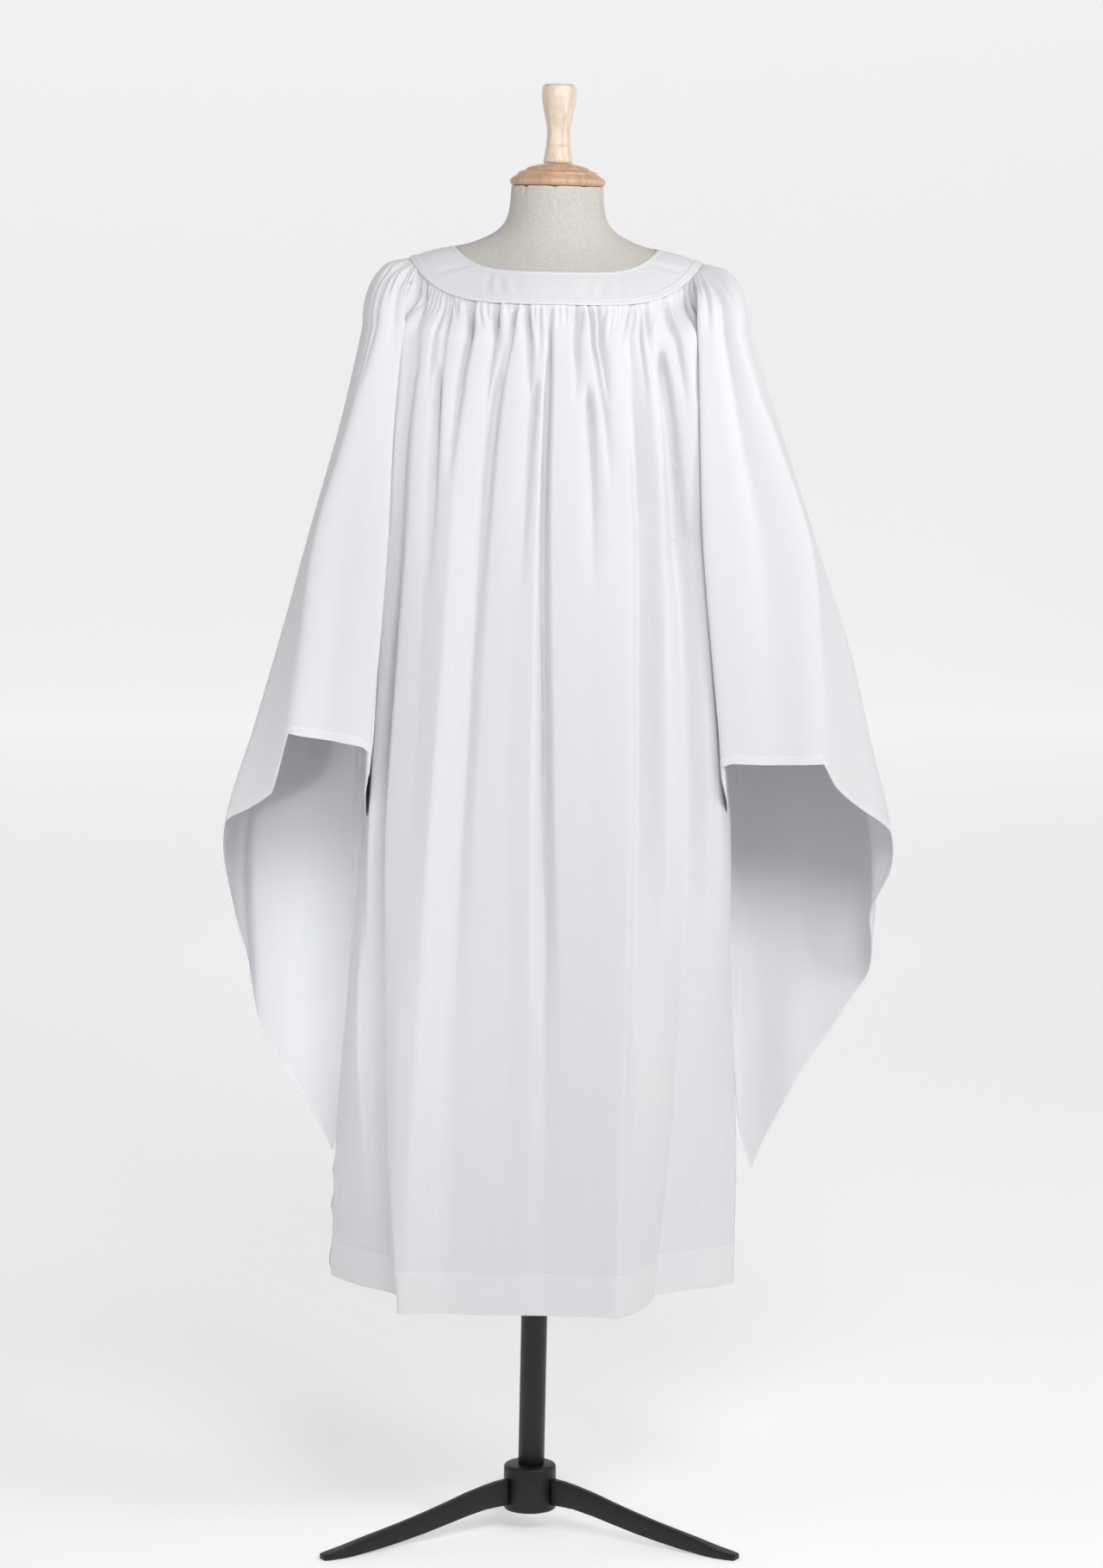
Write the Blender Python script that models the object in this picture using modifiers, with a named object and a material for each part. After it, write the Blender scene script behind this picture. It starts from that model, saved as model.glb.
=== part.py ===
"""Surplice with a gathered yoke, worn by a limbless dress form on a tripod stand."""

import math

import bmesh
import bpy
import numpy as np

# Places: metres, +Z up. The front of the garment faces -Y, and +X is at the viewer's right.
AXIS_X = -0.033  # the stand's centre on the floor
AXIS_Y = -0.041
TILT = math.radians(1.18)  # the form leans a little towards +X

# Cloth
WALL = 0.0015  # cotton wall, as built
HEM_EXTRA = 0.0008  # the turned hem adds this to the outside
SEAM_GAP = 0.0003
HEM_HEIGHT = 0.292
HEM_DEPTH = 0.046
HEM_STEP = 0.003
SLEEVE_HEM_DEPTH = 0.009
ARMPIT_HEIGHT = 1.15
ARMPIT_X = 0.166
CHEST_HEIGHT = 1.20
HIP_HEIGHT = 0.80
FOLD_TOP = 1.40
CAP_LEVEL = 1.38  # the shoulder's curve ends here and the sleeve hangs
SETTLE_DROP = 0.05  # the cloth leaves the yoke's curve over this drop
LOWER_BODY_ROWS = (1.07, 0.99, 0.90, 0.81, 0.72, 0.63, 0.54, 0.45)
SLEEVE_LOWER_SHARES = (0.10, 0.22, 0.35, 0.48, 0.61, 0.73, 0.84, 0.93)  # from the armpit's height to the hem

# Neckline and yoke seam: each is an oval whose height changes around it
NECK_OVAL = {"side": 0.113, "front": 0.095, "back": 0.088, "z_front": 1.442, "z_side": 1.468, "z_back": 1.474}
SEAM_OVAL = {"side": 0.163, "front": 0.135, "back": 0.125, "z_front": 1.407, "z_side": 1.454, "z_back": 1.428}
OVAL_SHARPNESS = 5  # how quickly an oval rises to its side height
SEAM_LEAN = {"out": 0.88, "less at the side": 0.50, "sharpness": 4}  # outward part of the cloth's direction
RAGLAN_TOP = math.radians(66.0)  # where the sleeve seams meet the yoke
RAGLAN_CURVE = 0.8
YOKE_COLUMNS = 72
YOKE_ROWS = ((0.0, 0.0), (0.42, 0.0), (0.83, 0.0), (0.86, 0.0006), (1.0, 0.0006))  # share of its width, lap
YOKE_CROWN = 0.002  # the yoke rises this much over the form between its edges
YOKE_TURN = 0.6  # from this share of its width the yoke turns to lie as the panels do

# Gathers
FRONT_GATHERS = 41
BACK_GATHERS = 36
SLEEVE_GATHERS = 15
GATHER_HEIGHT = 0.0034
GATHER_DROPS = (0.0, 0.010, 0.028, 0.060, 0.110)  # rows below the yoke seam
CHEST_SHARES = (0.5, 1.0)  # rows from the last of those to the armpit
ARMPIT_ROW = len(GATHER_DROPS) + len(CHEST_SHARES) - 1
GATHER_RISE = 0.35  # share of their height that they have at the seam itself
GATHER_RISE_DROP = 0.015
GATHER_SHORTEST = 0.060
GATHER_LONGEST = 0.220
GATHER_SPREAD = (0.6, 1.4)  # lowest and highest, as shares of their height
CALM_COLUMNS = 5  # the gathers grow over these columns from a sleeve seam
FOLD_HEIGHT = 0.0048  # larger folds that the gathers run into
FOLD_SHORTEST = 0.20
FOLD_LONGEST = 0.50
FOLD_RISE_DROP = 0.080
FOLD_SPREAD = (0.4, 1.2)
GOLDEN = 0.618034

BODY_TABLE = (
    # height, half width, front depth, back depth, squareness
    (0.290, 0.238, 0.180, 0.170, 3.0),
    (0.430, 0.235, 0.177, 0.165, 3.0),
    (0.570, 0.226, 0.173, 0.160, 3.0),
    (0.690, 0.216, 0.169, 0.155, 3.0),
    (0.810, 0.206, 0.165, 0.150, 2.9),
    (0.900, 0.196, 0.160, 0.146, 2.8),
    (1.050, 0.179, 0.152, 0.140, 2.6),
    (1.150, 0.168, 0.148, 0.137, 2.5),
    (1.300, 0.164, 0.144, 0.132, 2.4),
    (1.400, 0.163, 0.140, 0.129, 2.2),
    (1.457, 0.163, 0.136, 0.126, 2.0),
)

FOLD_TABLE = (
    # angle at chest, angle at hem, width at chest, width at hem, depth at chest, at hip, at hem
    (-57, -36, 9, 7, 0.021, 0.014, 0.026),
    (-76, -66, 12, 14, -0.012, -0.030, -0.070),
    (-35, -35, 6, 7, 0.009, 0.011, 0.007),
    (-27, -25, 4, 6, -0.009, -0.008, -0.004),
    (-14, -11, 6, 7, 0.005, 0.005, 0.003),
    (-1.5, 4, 4.5, 7, -0.017, -0.013, -0.004),
    (13, 15, 6, 7, 0.005, 0.005, 0.003),
    (29, 27, 6, 6, 0.009, 0.011, 0.014),
    (45, 64, 6, 24, -0.010, -0.017, -0.098),
    (57, 62, 8, 8, 0.012, 0.008, 0.000),
    (84, 89, 8, 8, 0.000, 0.003, 0.020),
    (76, 84, 11, 9, -0.012, -0.004, 0.000),
    (104, 106, 10, 9, -0.008, -0.012, -0.020),
    (126, 126, 9, 9, 0.010, 0.014, 0.020),
    (148, 146, 7, 8, -0.010, -0.014, -0.014),
    (164, 162, 7, 8, 0.009, 0.012, 0.013),
    (186, 184, 6, 7, -0.013, -0.014, -0.010),
    (202, 201, 8, 8, 0.009, 0.011, 0.011),
    (218, 219, 6, 8, -0.009, -0.012, -0.012),
    (236, 237, 9, 9, 0.010, 0.014, 0.020),
    (256, 256, 10, 9, -0.008, -0.012, -0.018),
)

# Sleeves: x is measured outward from the form's centre line, y is negative at the front
SLEEVE_KNOTS = (0.0, 0.05, 0.10, 0.17, 0.33, 0.38, 0.52, 0.60, 0.70, 0.8333, 0.94, 1.0)
SLEEVE_STATIONS = (
    # a row for each knot: x from, x to, share of the way, then y as one place's share plus another's
    ("front seam", "lap", 0.00, "front seam", 1.00, "front", 0.00),
    ("front seam", "lap", 0.60, "front seam", 0.48, "front", 0.52),
    ("front seam", "lap", 1.00, "front seam", 0.00, "front", 0.90),
    ("lap", "ridge", 0.22, "front", 1.00, "outer", 0.00),
    ("lap", "ridge", 1.00, "front", 0.94, "outer", 0.00),
    ("ridge", "outer", 0.22, "front", 0.78, "outer", 0.22),
    ("ridge", "outer", 1.00, "front", 0.00, "outer", 1.00),
    ("outer", "inner", 0.05, "outer", 0.50, "back", 0.38),
    ("outer", "inner", 0.17, "outer", 0.00, "back", 0.88),
    ("outer", "inner", 0.80, "outer", 0.00, "back", 1.00),
    ("inner", "outer", 0.08, "back", 0.72, "back seam", 0.28),
    ("inner", "back seam", 1.00, "back", 0.00, "back seam", 1.00),
)
SLEEVE_FOLDS_FULL = 0.95  # a sleeve's folds grow from CAP_LEVEL down to this height
SLEEVE_EDGE = 0.10  # the shoulder's curve fades over this share of the sleeve beside each seam
SLEEVES = {
    "sleeve_left": {
        "side": -1,
        "sections": (
            # height, front inner x, seam x, ridge x, outer x, front y, outer y, back y, seam y
            (0.410, 0.196, 0.216, 0.292, 0.352, -0.130, -0.020, 0.106, 0.060),
            (0.600, 0.196, 0.216, 0.292, 0.356, -0.130, -0.025, 0.104, 0.050),
            (0.820, 0.194, 0.212, 0.292, 0.360, -0.131, -0.030, 0.102, 0.035),
            (0.930, 0.182, 0.203, 0.285, 0.328, -0.132, -0.038, 0.100, 0.025),
            (1.030, 0.172, 0.189, 0.273, 0.300, -0.130, -0.045, 0.100, 0.015),
            (1.150, 0.166, ARMPIT_X, 0.259, 0.268, -0.122, -0.050, 0.097, 0.000),
            (1.270, 0.163, 0.160, 0.228, 0.236, -0.108, -0.030, 0.090, 0.000),
            (1.380, 0.160, 0.156, 0.203, 0.213, -0.088, -0.008, 0.080, 0.000),
        ),
        "hem": (
            # place round the sleeve, height
            (0.00, 0.800), (0.05, 0.860), (0.10, 0.908), (0.14, 0.917), (0.22, 0.923), (0.33, 0.930),
            (0.38, 0.862), (0.45, 0.838), (0.52, 0.818), (0.60, 0.725), (0.66, 0.640),
            (0.72, 0.550), (0.78, 0.472), (0.8333, 0.414), (0.89, 0.500), (0.94, 0.640), (1.00, 0.800),
        ),
        "folds": (
            # place round the sleeve, width, depth
            (0.24, 0.04, -0.006), (0.45, 0.04, -0.005), (0.66, 0.03, -0.008), (0.76, 0.03, 0.008),
            (0.90, 0.03, -0.006),
        ),
    },
    "sleeve_right": {
        "side": 1,
        "sections": (
            (0.410, 0.205, 0.222, 0.305, 0.388, -0.132, -0.020, 0.108, 0.060),
            (0.600, 0.205, 0.222, 0.305, 0.390, -0.132, -0.025, 0.106, 0.050),
            (0.820, 0.205, 0.216, 0.305, 0.392, -0.132, -0.030, 0.102, 0.035),
            (0.930, 0.197, 0.206, 0.306, 0.364, -0.133, -0.036, 0.100, 0.025),
            (1.030, 0.181, 0.191, 0.299, 0.338, -0.130, -0.045, 0.100, 0.015),
            (1.150, 0.169, ARMPIT_X, 0.286, 0.296, -0.122, -0.050, 0.097, 0.000),
            (1.270, 0.162, 0.160, 0.245, 0.255, -0.108, -0.030, 0.090, 0.000),
            (1.380, 0.158, 0.156, 0.208, 0.219, -0.088, -0.008, 0.080, 0.000),
        ),
        "hem": (
            (0.00, 0.800), (0.05, 0.860), (0.10, 0.902), (0.14, 0.908), (0.22, 0.907), (0.33, 0.909),
            (0.38, 0.882), (0.45, 0.851), (0.52, 0.820), (0.60, 0.722), (0.66, 0.655),
            (0.70, 0.615), (0.76, 0.530), (0.8333, 0.402), (0.89, 0.480), (0.94, 0.630), (1.00, 0.800),
        ),
        "folds": (
            (0.24, 0.04, -0.006), (0.45, 0.04, -0.005), (0.60, 0.03, -0.014), (0.68, 0.03, 0.012),
            (0.78, 0.03, -0.008), (0.90, 0.03, -0.006),
        ),
    },
}

# Dress form: rings from the neck down, each an oval like the two above
FORM_RINGS = (
    # side, front, back, z front, z side, z back
    (0.0515, 0.0515, 0.0515, 1.5370, 1.5370, 1.5370),
    (0.0525, 0.0525, 0.0525, 1.5050, 1.5050, 1.5050),
    (0.0620, 0.0590, 0.0600, 1.4790, 1.4880, 1.4920),
    (0.0850, 0.0760, 0.0740, 1.4580, 1.4760, 1.4820),
)
FORM_RINGS_BELOW = (
    (0.1540, 0.1230, 0.1150, 1.3600, 1.4150, 1.3700),
    (0.1480, 0.1210, 0.1150, 1.2800, 1.2800, 1.2800),
    (0.1430, 0.1120, 0.1080, 1.1500, 1.1500, 1.1500),
    (0.1350, 0.1040, 0.1000, 1.0200, 1.0200, 1.0200),
    (0.1500, 0.1120, 0.1150, 0.9100, 0.9100, 0.9100),
    (0.1580, 0.1180, 0.1220, 0.8300, 0.8300, 0.8300),
    (0.1560, 0.1160, 0.1200, 0.8040, 0.8040, 0.8040),
    (0.1500, 0.1100, 0.1140, 0.8000, 0.8000, 0.8000),
)
FORM_COLUMNS = YOKE_COLUMNS
YOKE_SEAT = 0.0004  # clear space between the yoke and the form
FORM_UNDER_YOKE = (0.0, 0.42, 0.83)  # places across the yoke where the form follows it

CAP_PROFILE = (
    # radius, height, from the top down
    (0.0000, 1.5620), (0.0150, 1.5618), (0.0250, 1.5596), (0.0340, 1.5568), (0.0355, 1.5548),
    (0.0430, 1.5520), (0.0445, 1.5498), (0.0520, 1.5450), (0.0535, 1.5420), (0.0520, 1.5385),
    (0.0500, 1.5373), (0.0000, 1.5373),
)
FINIAL_PROFILE = (
    (0.0000, 1.6500), (0.0145, 1.6498), (0.0175, 1.6480), (0.0193, 1.6430), (0.0195, 1.6370),
    (0.0180, 1.6260), (0.0150, 1.6110), (0.0128, 1.5970), (0.0136, 1.5830), (0.0131, 1.5812),
    (0.0142, 1.5790), (0.0155, 1.5690), (0.0163, 1.5650), (0.0155, 1.5623), (0.0000, 1.5623),
)
TURNED_STEPS = 28

POLE_RADIUS = 0.0150
POLE_TOP = 0.7997
POLE_BOTTOM = 0.0755
HUB_RADIUS = 0.030
HUB_EDGE = 0.003
LEG_EDGE = 0.0012
HUB_BOTTOM = 0.022
HUB_TOP = 0.075
LEG_REACH = 0.270
LEG_ANGLES = {"leg_front_left": -150.0, "leg_front_right": -30.0, "leg_back": 90.0}
LEG_TABLE = (
    # distance from the axis, height of the underside, bar height, bar width
    (0.0304, 0.030, 0.030, 0.010),
    (0.0600, 0.029, 0.027, 0.009),
    (0.1100, 0.019, 0.024, 0.009),
    (0.1700, 0.007, 0.021, 0.009),
    (0.2200, 0.001, 0.016, 0.012),
    (0.2450, 0.000, 0.010, 0.018),
    (0.2700, 0.000, 0.006, 0.014),
)

COLOURS = {
    # red, green, blue, roughness, metallic
    "cotton": (0.86, 0.87, 0.90, 0.75, 0.0),
    "linen": (0.80, 0.77, 0.71, 0.85, 0.0),
    "wood": (0.72, 0.55, 0.38, 0.45, 0.0),
    "pale_wood": (0.82, 0.68, 0.54, 0.42, 0.0),
    "black_steel": (0.02, 0.02, 0.022, 0.40, 0.6),
}


def smooth(levels, values, at):
    """Value at each place, on a smooth curve through a table's rows.

    values holds one number a row, or one row of numbers for as many places.
    """
    levels = np.asarray(levels, float)
    values = np.asarray(values, float)
    at = np.asarray(at, float)
    slopes = np.gradient(values, levels, axis=0)
    row = np.clip(np.searchsorted(levels, at) - 1, 0, len(levels) - 2)
    low = (row,) if values.ndim == 1 else (row, np.arange(len(at)))
    high = (row + 1,) + low[1:]
    span = levels[row + 1] - levels[row]
    t = np.clip((at - levels[row]) / span, 0.0, 1.0)
    start = (1 + 2 * t) * (1 - t) ** 2 * values[low] + t * (1 - t) ** 2 * span * slopes[low]
    end = t * t * (3 - 2 * t) * values[high] + t * t * (t - 1) * span * slopes[high]
    return start + end


def step(low, high, at):
    t = np.clip((at - low) / (high - low), 0.0, 1.0)
    return t * t * (3 - 2 * t)


def unit(vectors):
    return vectors / np.maximum(np.linalg.norm(vectors, axis=-1, keepdims=True), 1e-12)


def oval_point(oval, angle):
    """Point on an oval of the yoke. Angle 0 is the front and a quarter turn is +X."""
    front = np.cos(angle) > 0
    side_share = np.abs(np.sin(angle)) ** OVAL_SHARPNESS
    depth = np.where(front, oval["front"], oval["back"])
    middle = np.where(front, oval["z_front"], oval["z_back"])
    height = middle + (oval["z_side"] - middle) * side_share
    return np.stack([oval["side"] * np.sin(angle), -depth * np.cos(angle), height], axis=-1)


def seam_normal(angle):
    """Outward direction of the cloth at the yoke seam, shared by the pieces that meet there."""
    side_share = np.abs(np.sin(angle)) ** SEAM_LEAN["sharpness"]
    out = SEAM_LEAN["out"] - SEAM_LEAN["less at the side"] * side_share
    up = np.sqrt(1 - out * out)
    return np.stack([out * np.sin(angle), -out * np.cos(angle), up], axis=-1)


def seam_down(angle):
    """Direction down the cloth at the yoke seam, at right angles to seam_normal."""
    normal = seam_normal(angle)
    out = np.hypot(normal[..., 0], normal[..., 1])
    return np.stack([normal[..., 2] * np.sin(angle), -normal[..., 2] * np.cos(angle), -out], axis=-1)


def body_point(angle, height):
    """Point on the garment's body below the yoke, on its large folds."""
    columns = list(zip(*BODY_TABLE))
    width = smooth(columns[0], columns[1], height)
    front = smooth(columns[0], columns[2], height)
    back = smooth(columns[0], columns[3], height)
    square = smooth(columns[0], columns[4], height)
    depth = np.where(np.cos(angle) > 0, front, back)
    across = np.abs(np.sin(angle) / width) ** square
    along = np.abs(np.cos(angle) / depth) ** square
    radius = (across + along) ** (-1 / square)
    fall = (FOLD_TOP - height) / (FOLD_TOP - HEM_HEIGHT)
    degrees = np.degrees(angle)
    for top, hem, width_top, width_hem, chest, hip, low in FOLD_TABLE:
        centre = top + (hem - top) * np.clip(fall, 0, 1)
        spread = width_top + (width_hem - width_top) * np.clip(fall, 0, 1)
        depth = smooth((HEM_HEIGHT, HIP_HEIGHT, CHEST_HEIGHT, FOLD_TOP), (low, hip, chest, 0.0), height)
        away = (degrees - centre + 180) % 360 - 180
        radius = radius + depth * np.exp(-((away / spread) ** 2))
    return np.stack([radius * np.sin(angle), -radius * np.cos(angle), height + 0 * angle], axis=-1)


def raglan_angle(height):
    """Angle of the sleeve seam from the middle of its panel. It is at the side from the armpit down."""
    top = oval_point(SEAM_OVAL, RAGLAN_TOP)[2]
    down = np.clip((top - height) / (top - ARMPIT_HEIGHT), 0.0, 1.0)
    return RAGLAN_TOP + (math.pi / 2 - RAGLAN_TOP) * down**RAGLAN_CURVE


def row_heights(top):
    """Heights of the rows from the yoke seam, through the gathers, to the armpit."""
    gathered = [top - drop for drop in GATHER_DROPS]
    chest = [gathered[-1] + (ARMPIT_HEIGHT - gathered[-1]) * share for share in CHEST_SHARES]
    return gathered + chest


def spread(count, first, turns):
    """Even scatter of numbers from 0 to 1, one for each column."""
    return (np.arange(count) * GOLDEN * turns + first) % 1.0


def gather_wave(count, drops, first):
    """Outward wave of the gathers, a row for each drop. Even columns are ridges and odd ones valleys.

    Small gathers start at the seam. Further down every two of them run into one larger fold.
    """
    sign = np.where(np.arange(count) % 2 == 0, 1.0, -1.0)
    pair_sign = np.where(np.arange(count) % 4 < 2, 1.0, -1.0)
    length = GATHER_SHORTEST + (GATHER_LONGEST - GATHER_SHORTEST) * spread(count, first, 1) ** 1.5
    low, high = GATHER_SPREAD
    height = GATHER_HEIGHT * (low + (high - low) * spread(count, first, 3))
    pair_length = np.repeat(FOLD_SHORTEST + (FOLD_LONGEST - FOLD_SHORTEST) * spread(count, first, 1), 2)[:count]
    low, high = FOLD_SPREAD
    pair_height = FOLD_HEIGHT * np.repeat(low + (high - low) * spread(count, first, 2), 2)[:count]
    wave = np.zeros((drops.shape[0], count))
    for row, drop in enumerate(drops):
        rise = GATHER_RISE + (1 - GATHER_RISE) * step(0.0, GATHER_RISE_DROP, drop)
        fade = np.clip(1 - drop / length, 0.0, 1.0) ** 0.7
        pair_rise = step(GATHER_RISE_DROP, FOLD_RISE_DROP, drop)
        pair_fade = np.clip(1 - drop / pair_length, 0.0, 1.0) ** 0.8
        wave[row] = sign * height * rise * fade + pair_sign * pair_height * pair_rise * pair_fade
    column = np.arange(count)
    from_edge = np.minimum(column, count - 1 - column)
    return wave * step(0.0, CALM_COLUMNS, from_edge)


def body_rows():
    """Rows from the armpit to the hem, with two close rows where the hem turns."""
    turn = HEM_HEIGHT + HEM_DEPTH
    return LOWER_BODY_ROWS + (turn + HEM_STEP, turn, HEM_HEIGHT)


def body_grid(columns, middle):
    """Rows of points on the middle surface of the front (middle 0) or the back (middle pi)."""
    share = np.linspace(-1.0, 1.0, columns + 1)
    top = oval_point(SEAM_OVAL, middle + share * RAGLAN_TOP)
    heights = row_heights(top[:, 2]) + [np.full(columns + 1, level) for level in body_rows()]
    rows = []
    for height in heights:
        angle = middle + share * raglan_angle(height)
        point = body_point(angle, height)
        drop = top[:, 2] - height
        settle = step(0.0, SETTLE_DROP, drop)[:, None]
        held = np.concatenate([top[:, :2], height[:, None]], axis=1)
        rows.append(held + (point - held) * settle)
    return np.array(rows)


def sleeve_station(sleeve, height):
    """The points that a sleeve's section passes through at a height, outward x and y."""
    columns = list(zip(*sleeve["sections"]))
    values = [smooth(columns[0], column, height) for column in columns[1:]]
    lap, inner, ridge, outer, front, outer_y, back, seam_y = values
    front_seam = body_point(raglan_angle(height), height)
    back_seam = body_point(math.pi - raglan_angle(height), height)
    above = height >= ARMPIT_HEIGHT
    x_front = np.where(above, front_seam[..., 0], inner)
    y_front = np.where(above, front_seam[..., 1], seam_y)
    x_back = np.where(above, back_seam[..., 0], inner)
    y_back = np.where(above, back_seam[..., 1], seam_y)
    across = {"front seam": x_front, "lap": lap, "ridge": ridge, "outer": outer, "inner": inner}
    across["back seam"] = x_back
    along = {"front seam": y_front, "front": front, "outer": outer_y, "back": back, "back seam": y_back}
    x_knots = [across[a] + (across[b] - across[a]) * share for a, b, share, *_ in SLEEVE_STATIONS]
    y_knots = [along[a] * one + along[b] * two for *_, a, one, b, two in SLEEVE_STATIONS]
    return np.array(x_knots), np.array(y_knots)


def sleeve_section(sleeve, place, height):
    """Point on the hanging part of a sleeve: place runs from the front seam round to the back seam."""
    x_knots, y_knots = sleeve_station(sleeve, np.asarray(height, float))
    x = smooth(SLEEVE_KNOTS, x_knots, place)
    y = smooth(SLEEVE_KNOTS, y_knots, place)
    fall = step(CAP_LEVEL, SLEEVE_FOLDS_FULL, np.asarray(height, float))
    centre_x = 0.5 * (x_knots[0] + x_knots[6])
    outward = unit(np.stack([x - centre_x, y], axis=-1))
    for spot, width, depth in sleeve["folds"]:
        push = depth * fall * np.exp(-(((place - spot) / width) ** 2))
        x = x + outward[:, 0] * push
        y = y + outward[:, 1] * push
    return np.stack([sleeve["side"] * x, y, height], axis=-1)


def sleeve_grid(sleeve):
    """Middle surface of a sleeve: a list of rows of points from the yoke to the hem."""
    columns = 2 * SLEEVE_GATHERS
    place = np.linspace(0.0, 1.0, columns + 1)
    side = sleeve["side"]
    angle = side * (RAGLAN_TOP + (math.pi - 2 * RAGLAN_TOP) * place)
    top = oval_point(SEAM_OVAL, angle)
    edge = np.maximum(step(SLEEVE_EDGE, 0.0, place), step(1 - SLEEVE_EDGE, 1.0, place))
    rows = []
    last = GATHER_DROPS[-1]
    for drop in GATHER_DROPS:
        turn = drop / last * math.pi / 2
        cap_height = top[:, 2] + (CAP_LEVEL - top[:, 2]) * (1 - math.cos(turn))
        straight = top[:, 2] - drop
        height = cap_height + (straight - cap_height) * edge
        cap_ring = sleeve_section(sleeve, place, np.full(columns + 1, CAP_LEVEL))
        own_ring = sleeve_section(sleeve, place, height)
        curved = top[:, :2] + (cap_ring[:, :2] - top[:, :2]) * math.sin(turn)
        settle = step(0.0, SETTLE_DROP, drop)
        held = top[:, :2] + (own_ring[:, :2] - top[:, :2]) * settle
        flat = curved + (held - curved) * edge[:, None]
        rows.append(np.concatenate([flat, height[:, None]], axis=1))
    end = rows[-1][:, 2]
    for share in CHEST_SHARES:
        rows.append(sleeve_section(sleeve, place, end + (ARMPIT_HEIGHT - end) * share))
    spots, levels = zip(*sleeve["hem"])
    hem = np.interp(place, spots, levels)
    for share in SLEEVE_LOWER_SHARES:
        below = (hem + SLEEVE_HEM_DEPTH - ARMPIT_HEIGHT) * share
        rows.append(sleeve_section(sleeve, place, ARMPIT_HEIGHT + below))
    rows.append(sleeve_section(sleeve, place, hem + SLEEVE_HEM_DEPTH))
    rows.append(sleeve_section(sleeve, place, hem))
    return np.array(rows)


class Panel:
    """A gathered panel: its middle surface, the outward direction at each point, and its wave."""

    def __init__(self, grid, turn, gathers, first, hem_rows):
        self.grid = grid
        self.out = unit(np.cross(np.gradient(grid, axis=0), np.gradient(grid, axis=1))) * turn
        drops = grid[0, :, 2] - grid[:, :, 2]
        self.wave = gather_wave(2 * gathers + 1, drops, first)
        self.extra = np.zeros(grid.shape[:2])
        self.extra[-hem_rows:] = HEM_EXTRA

    def walls(self):
        """Outer and inner rows of points."""
        outer = self.grid + self.out * (WALL / 2 + self.wave + self.extra)[..., None]
        inner = self.grid + self.out * (self.wave - WALL / 2)[..., None]
        return outer, inner


def part_at_seam(one, one_column, other, other_column, rows):
    """Gives two panels the same direction along their seam, and draws each back from it."""
    beside = one_column + 1 if one_column == 0 else one_column - 1
    seam = one.grid[rows, one_column].copy()
    out = unit(one.out[rows, one_column] + other.out[rows, other_column])
    aside = unit(np.cross(out, np.gradient(seam, axis=0)))
    toward = np.sum(aside * (one.grid[rows, beside] - seam), axis=1, keepdims=True)
    aside = aside * np.sign(toward)
    one.out[rows, one_column] = out
    other.out[rows, other_column] = out
    one.grid[rows, one_column] = seam + aside * SEAM_GAP / 2
    other.grid[rows, other_column] = seam - aside * SEAM_GAP / 2


def part_at_armpit(panels, side):
    """Sets the four panels that meet at an armpit clear of each other."""
    sleeve = panels["sleeve_right" if side > 0 else "sleeve_left"]
    corners = (
        # panel, column, away from the armpit along x and y
        (panels["front_panel"], -1 if side > 0 else 0, -side, -1),
        (panels["back_panel"], 0 if side > 0 else -1, -side, 1),
        (sleeve, 0, side, -1),
        (sleeve, -1, side, 1),
    )
    for panel, column, x, y in corners:
        panel.grid[ARMPIT_ROW, column] = (side * ARMPIT_X, 0.0, ARMPIT_HEIGHT)
        panel.grid[ARMPIT_ROW, column] += np.array([x, y, 0.0]) * SEAM_GAP * 0.6
        panel.out[ARMPIT_ROW, column] = (0.0, 0.0, -1.0)


def make_panels():
    panels = {
        "front_panel": Panel(body_grid(2 * FRONT_GATHERS, 0.0), 1, FRONT_GATHERS, 0.10, 2),
        "back_panel": Panel(body_grid(2 * BACK_GATHERS, math.pi), 1, BACK_GATHERS, 0.35, 2),
    }
    for name, sleeve in SLEEVES.items():
        panels[name] = Panel(sleeve_grid(sleeve), sleeve["side"], SLEEVE_GATHERS, 0.60, 2)
    front, back = panels["front_panel"], panels["back_panel"]
    left, right = panels["sleeve_left"], panels["sleeve_right"]
    for panel, middle, half in ((front, 0.0, RAGLAN_TOP), (back, math.pi, RAGLAN_TOP)):
        angle = middle + np.linspace(-half, half, panel.grid.shape[1])
        panel.out[0] = seam_normal(angle)
        panel.grid[0] += seam_down(angle) * SEAM_GAP / 2
    for panel, side in ((left, -1), (right, 1)):
        angle = side * np.linspace(RAGLAN_TOP, math.pi - RAGLAN_TOP, panel.grid.shape[1])
        panel.out[0] = seam_normal(angle)
        panel.grid[0] += seam_down(angle) * SEAM_GAP / 2
    above = slice(0, ARMPIT_ROW)
    below = slice(ARMPIT_ROW + 1, None)
    part_at_seam(front, 0, left, 0, above)
    part_at_seam(front, -1, right, 0, above)
    part_at_seam(back, -1, left, -1, above)
    part_at_seam(back, 0, right, -1, above)
    part_at_seam(front, 0, back, -1, below)
    part_at_seam(front, -1, back, 0, below)
    part_at_seam(left, 0, left, -1, below)
    part_at_seam(right, 0, right, -1, below)
    part_at_armpit(panels, -1)
    part_at_armpit(panels, 1)
    return panels


# Meshes


def join_rows(faces, upper, lower):
    """Faces between two rows of point numbers. The lower row has as many as the upper, or every second."""
    if len(upper) == len(lower):
        for k in range(len(upper) - 1):
            faces.append((upper[k], lower[k], lower[k + 1], upper[k + 1]))
        return
    for k in range(len(lower) - 1):
        faces.append((upper[2 * k], lower[k], upper[2 * k + 1]))
        faces.append((upper[2 * k + 1], lower[k], lower[k + 1]))
        faces.append((upper[2 * k + 1], lower[k + 1], upper[2 * k + 2]))


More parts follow.
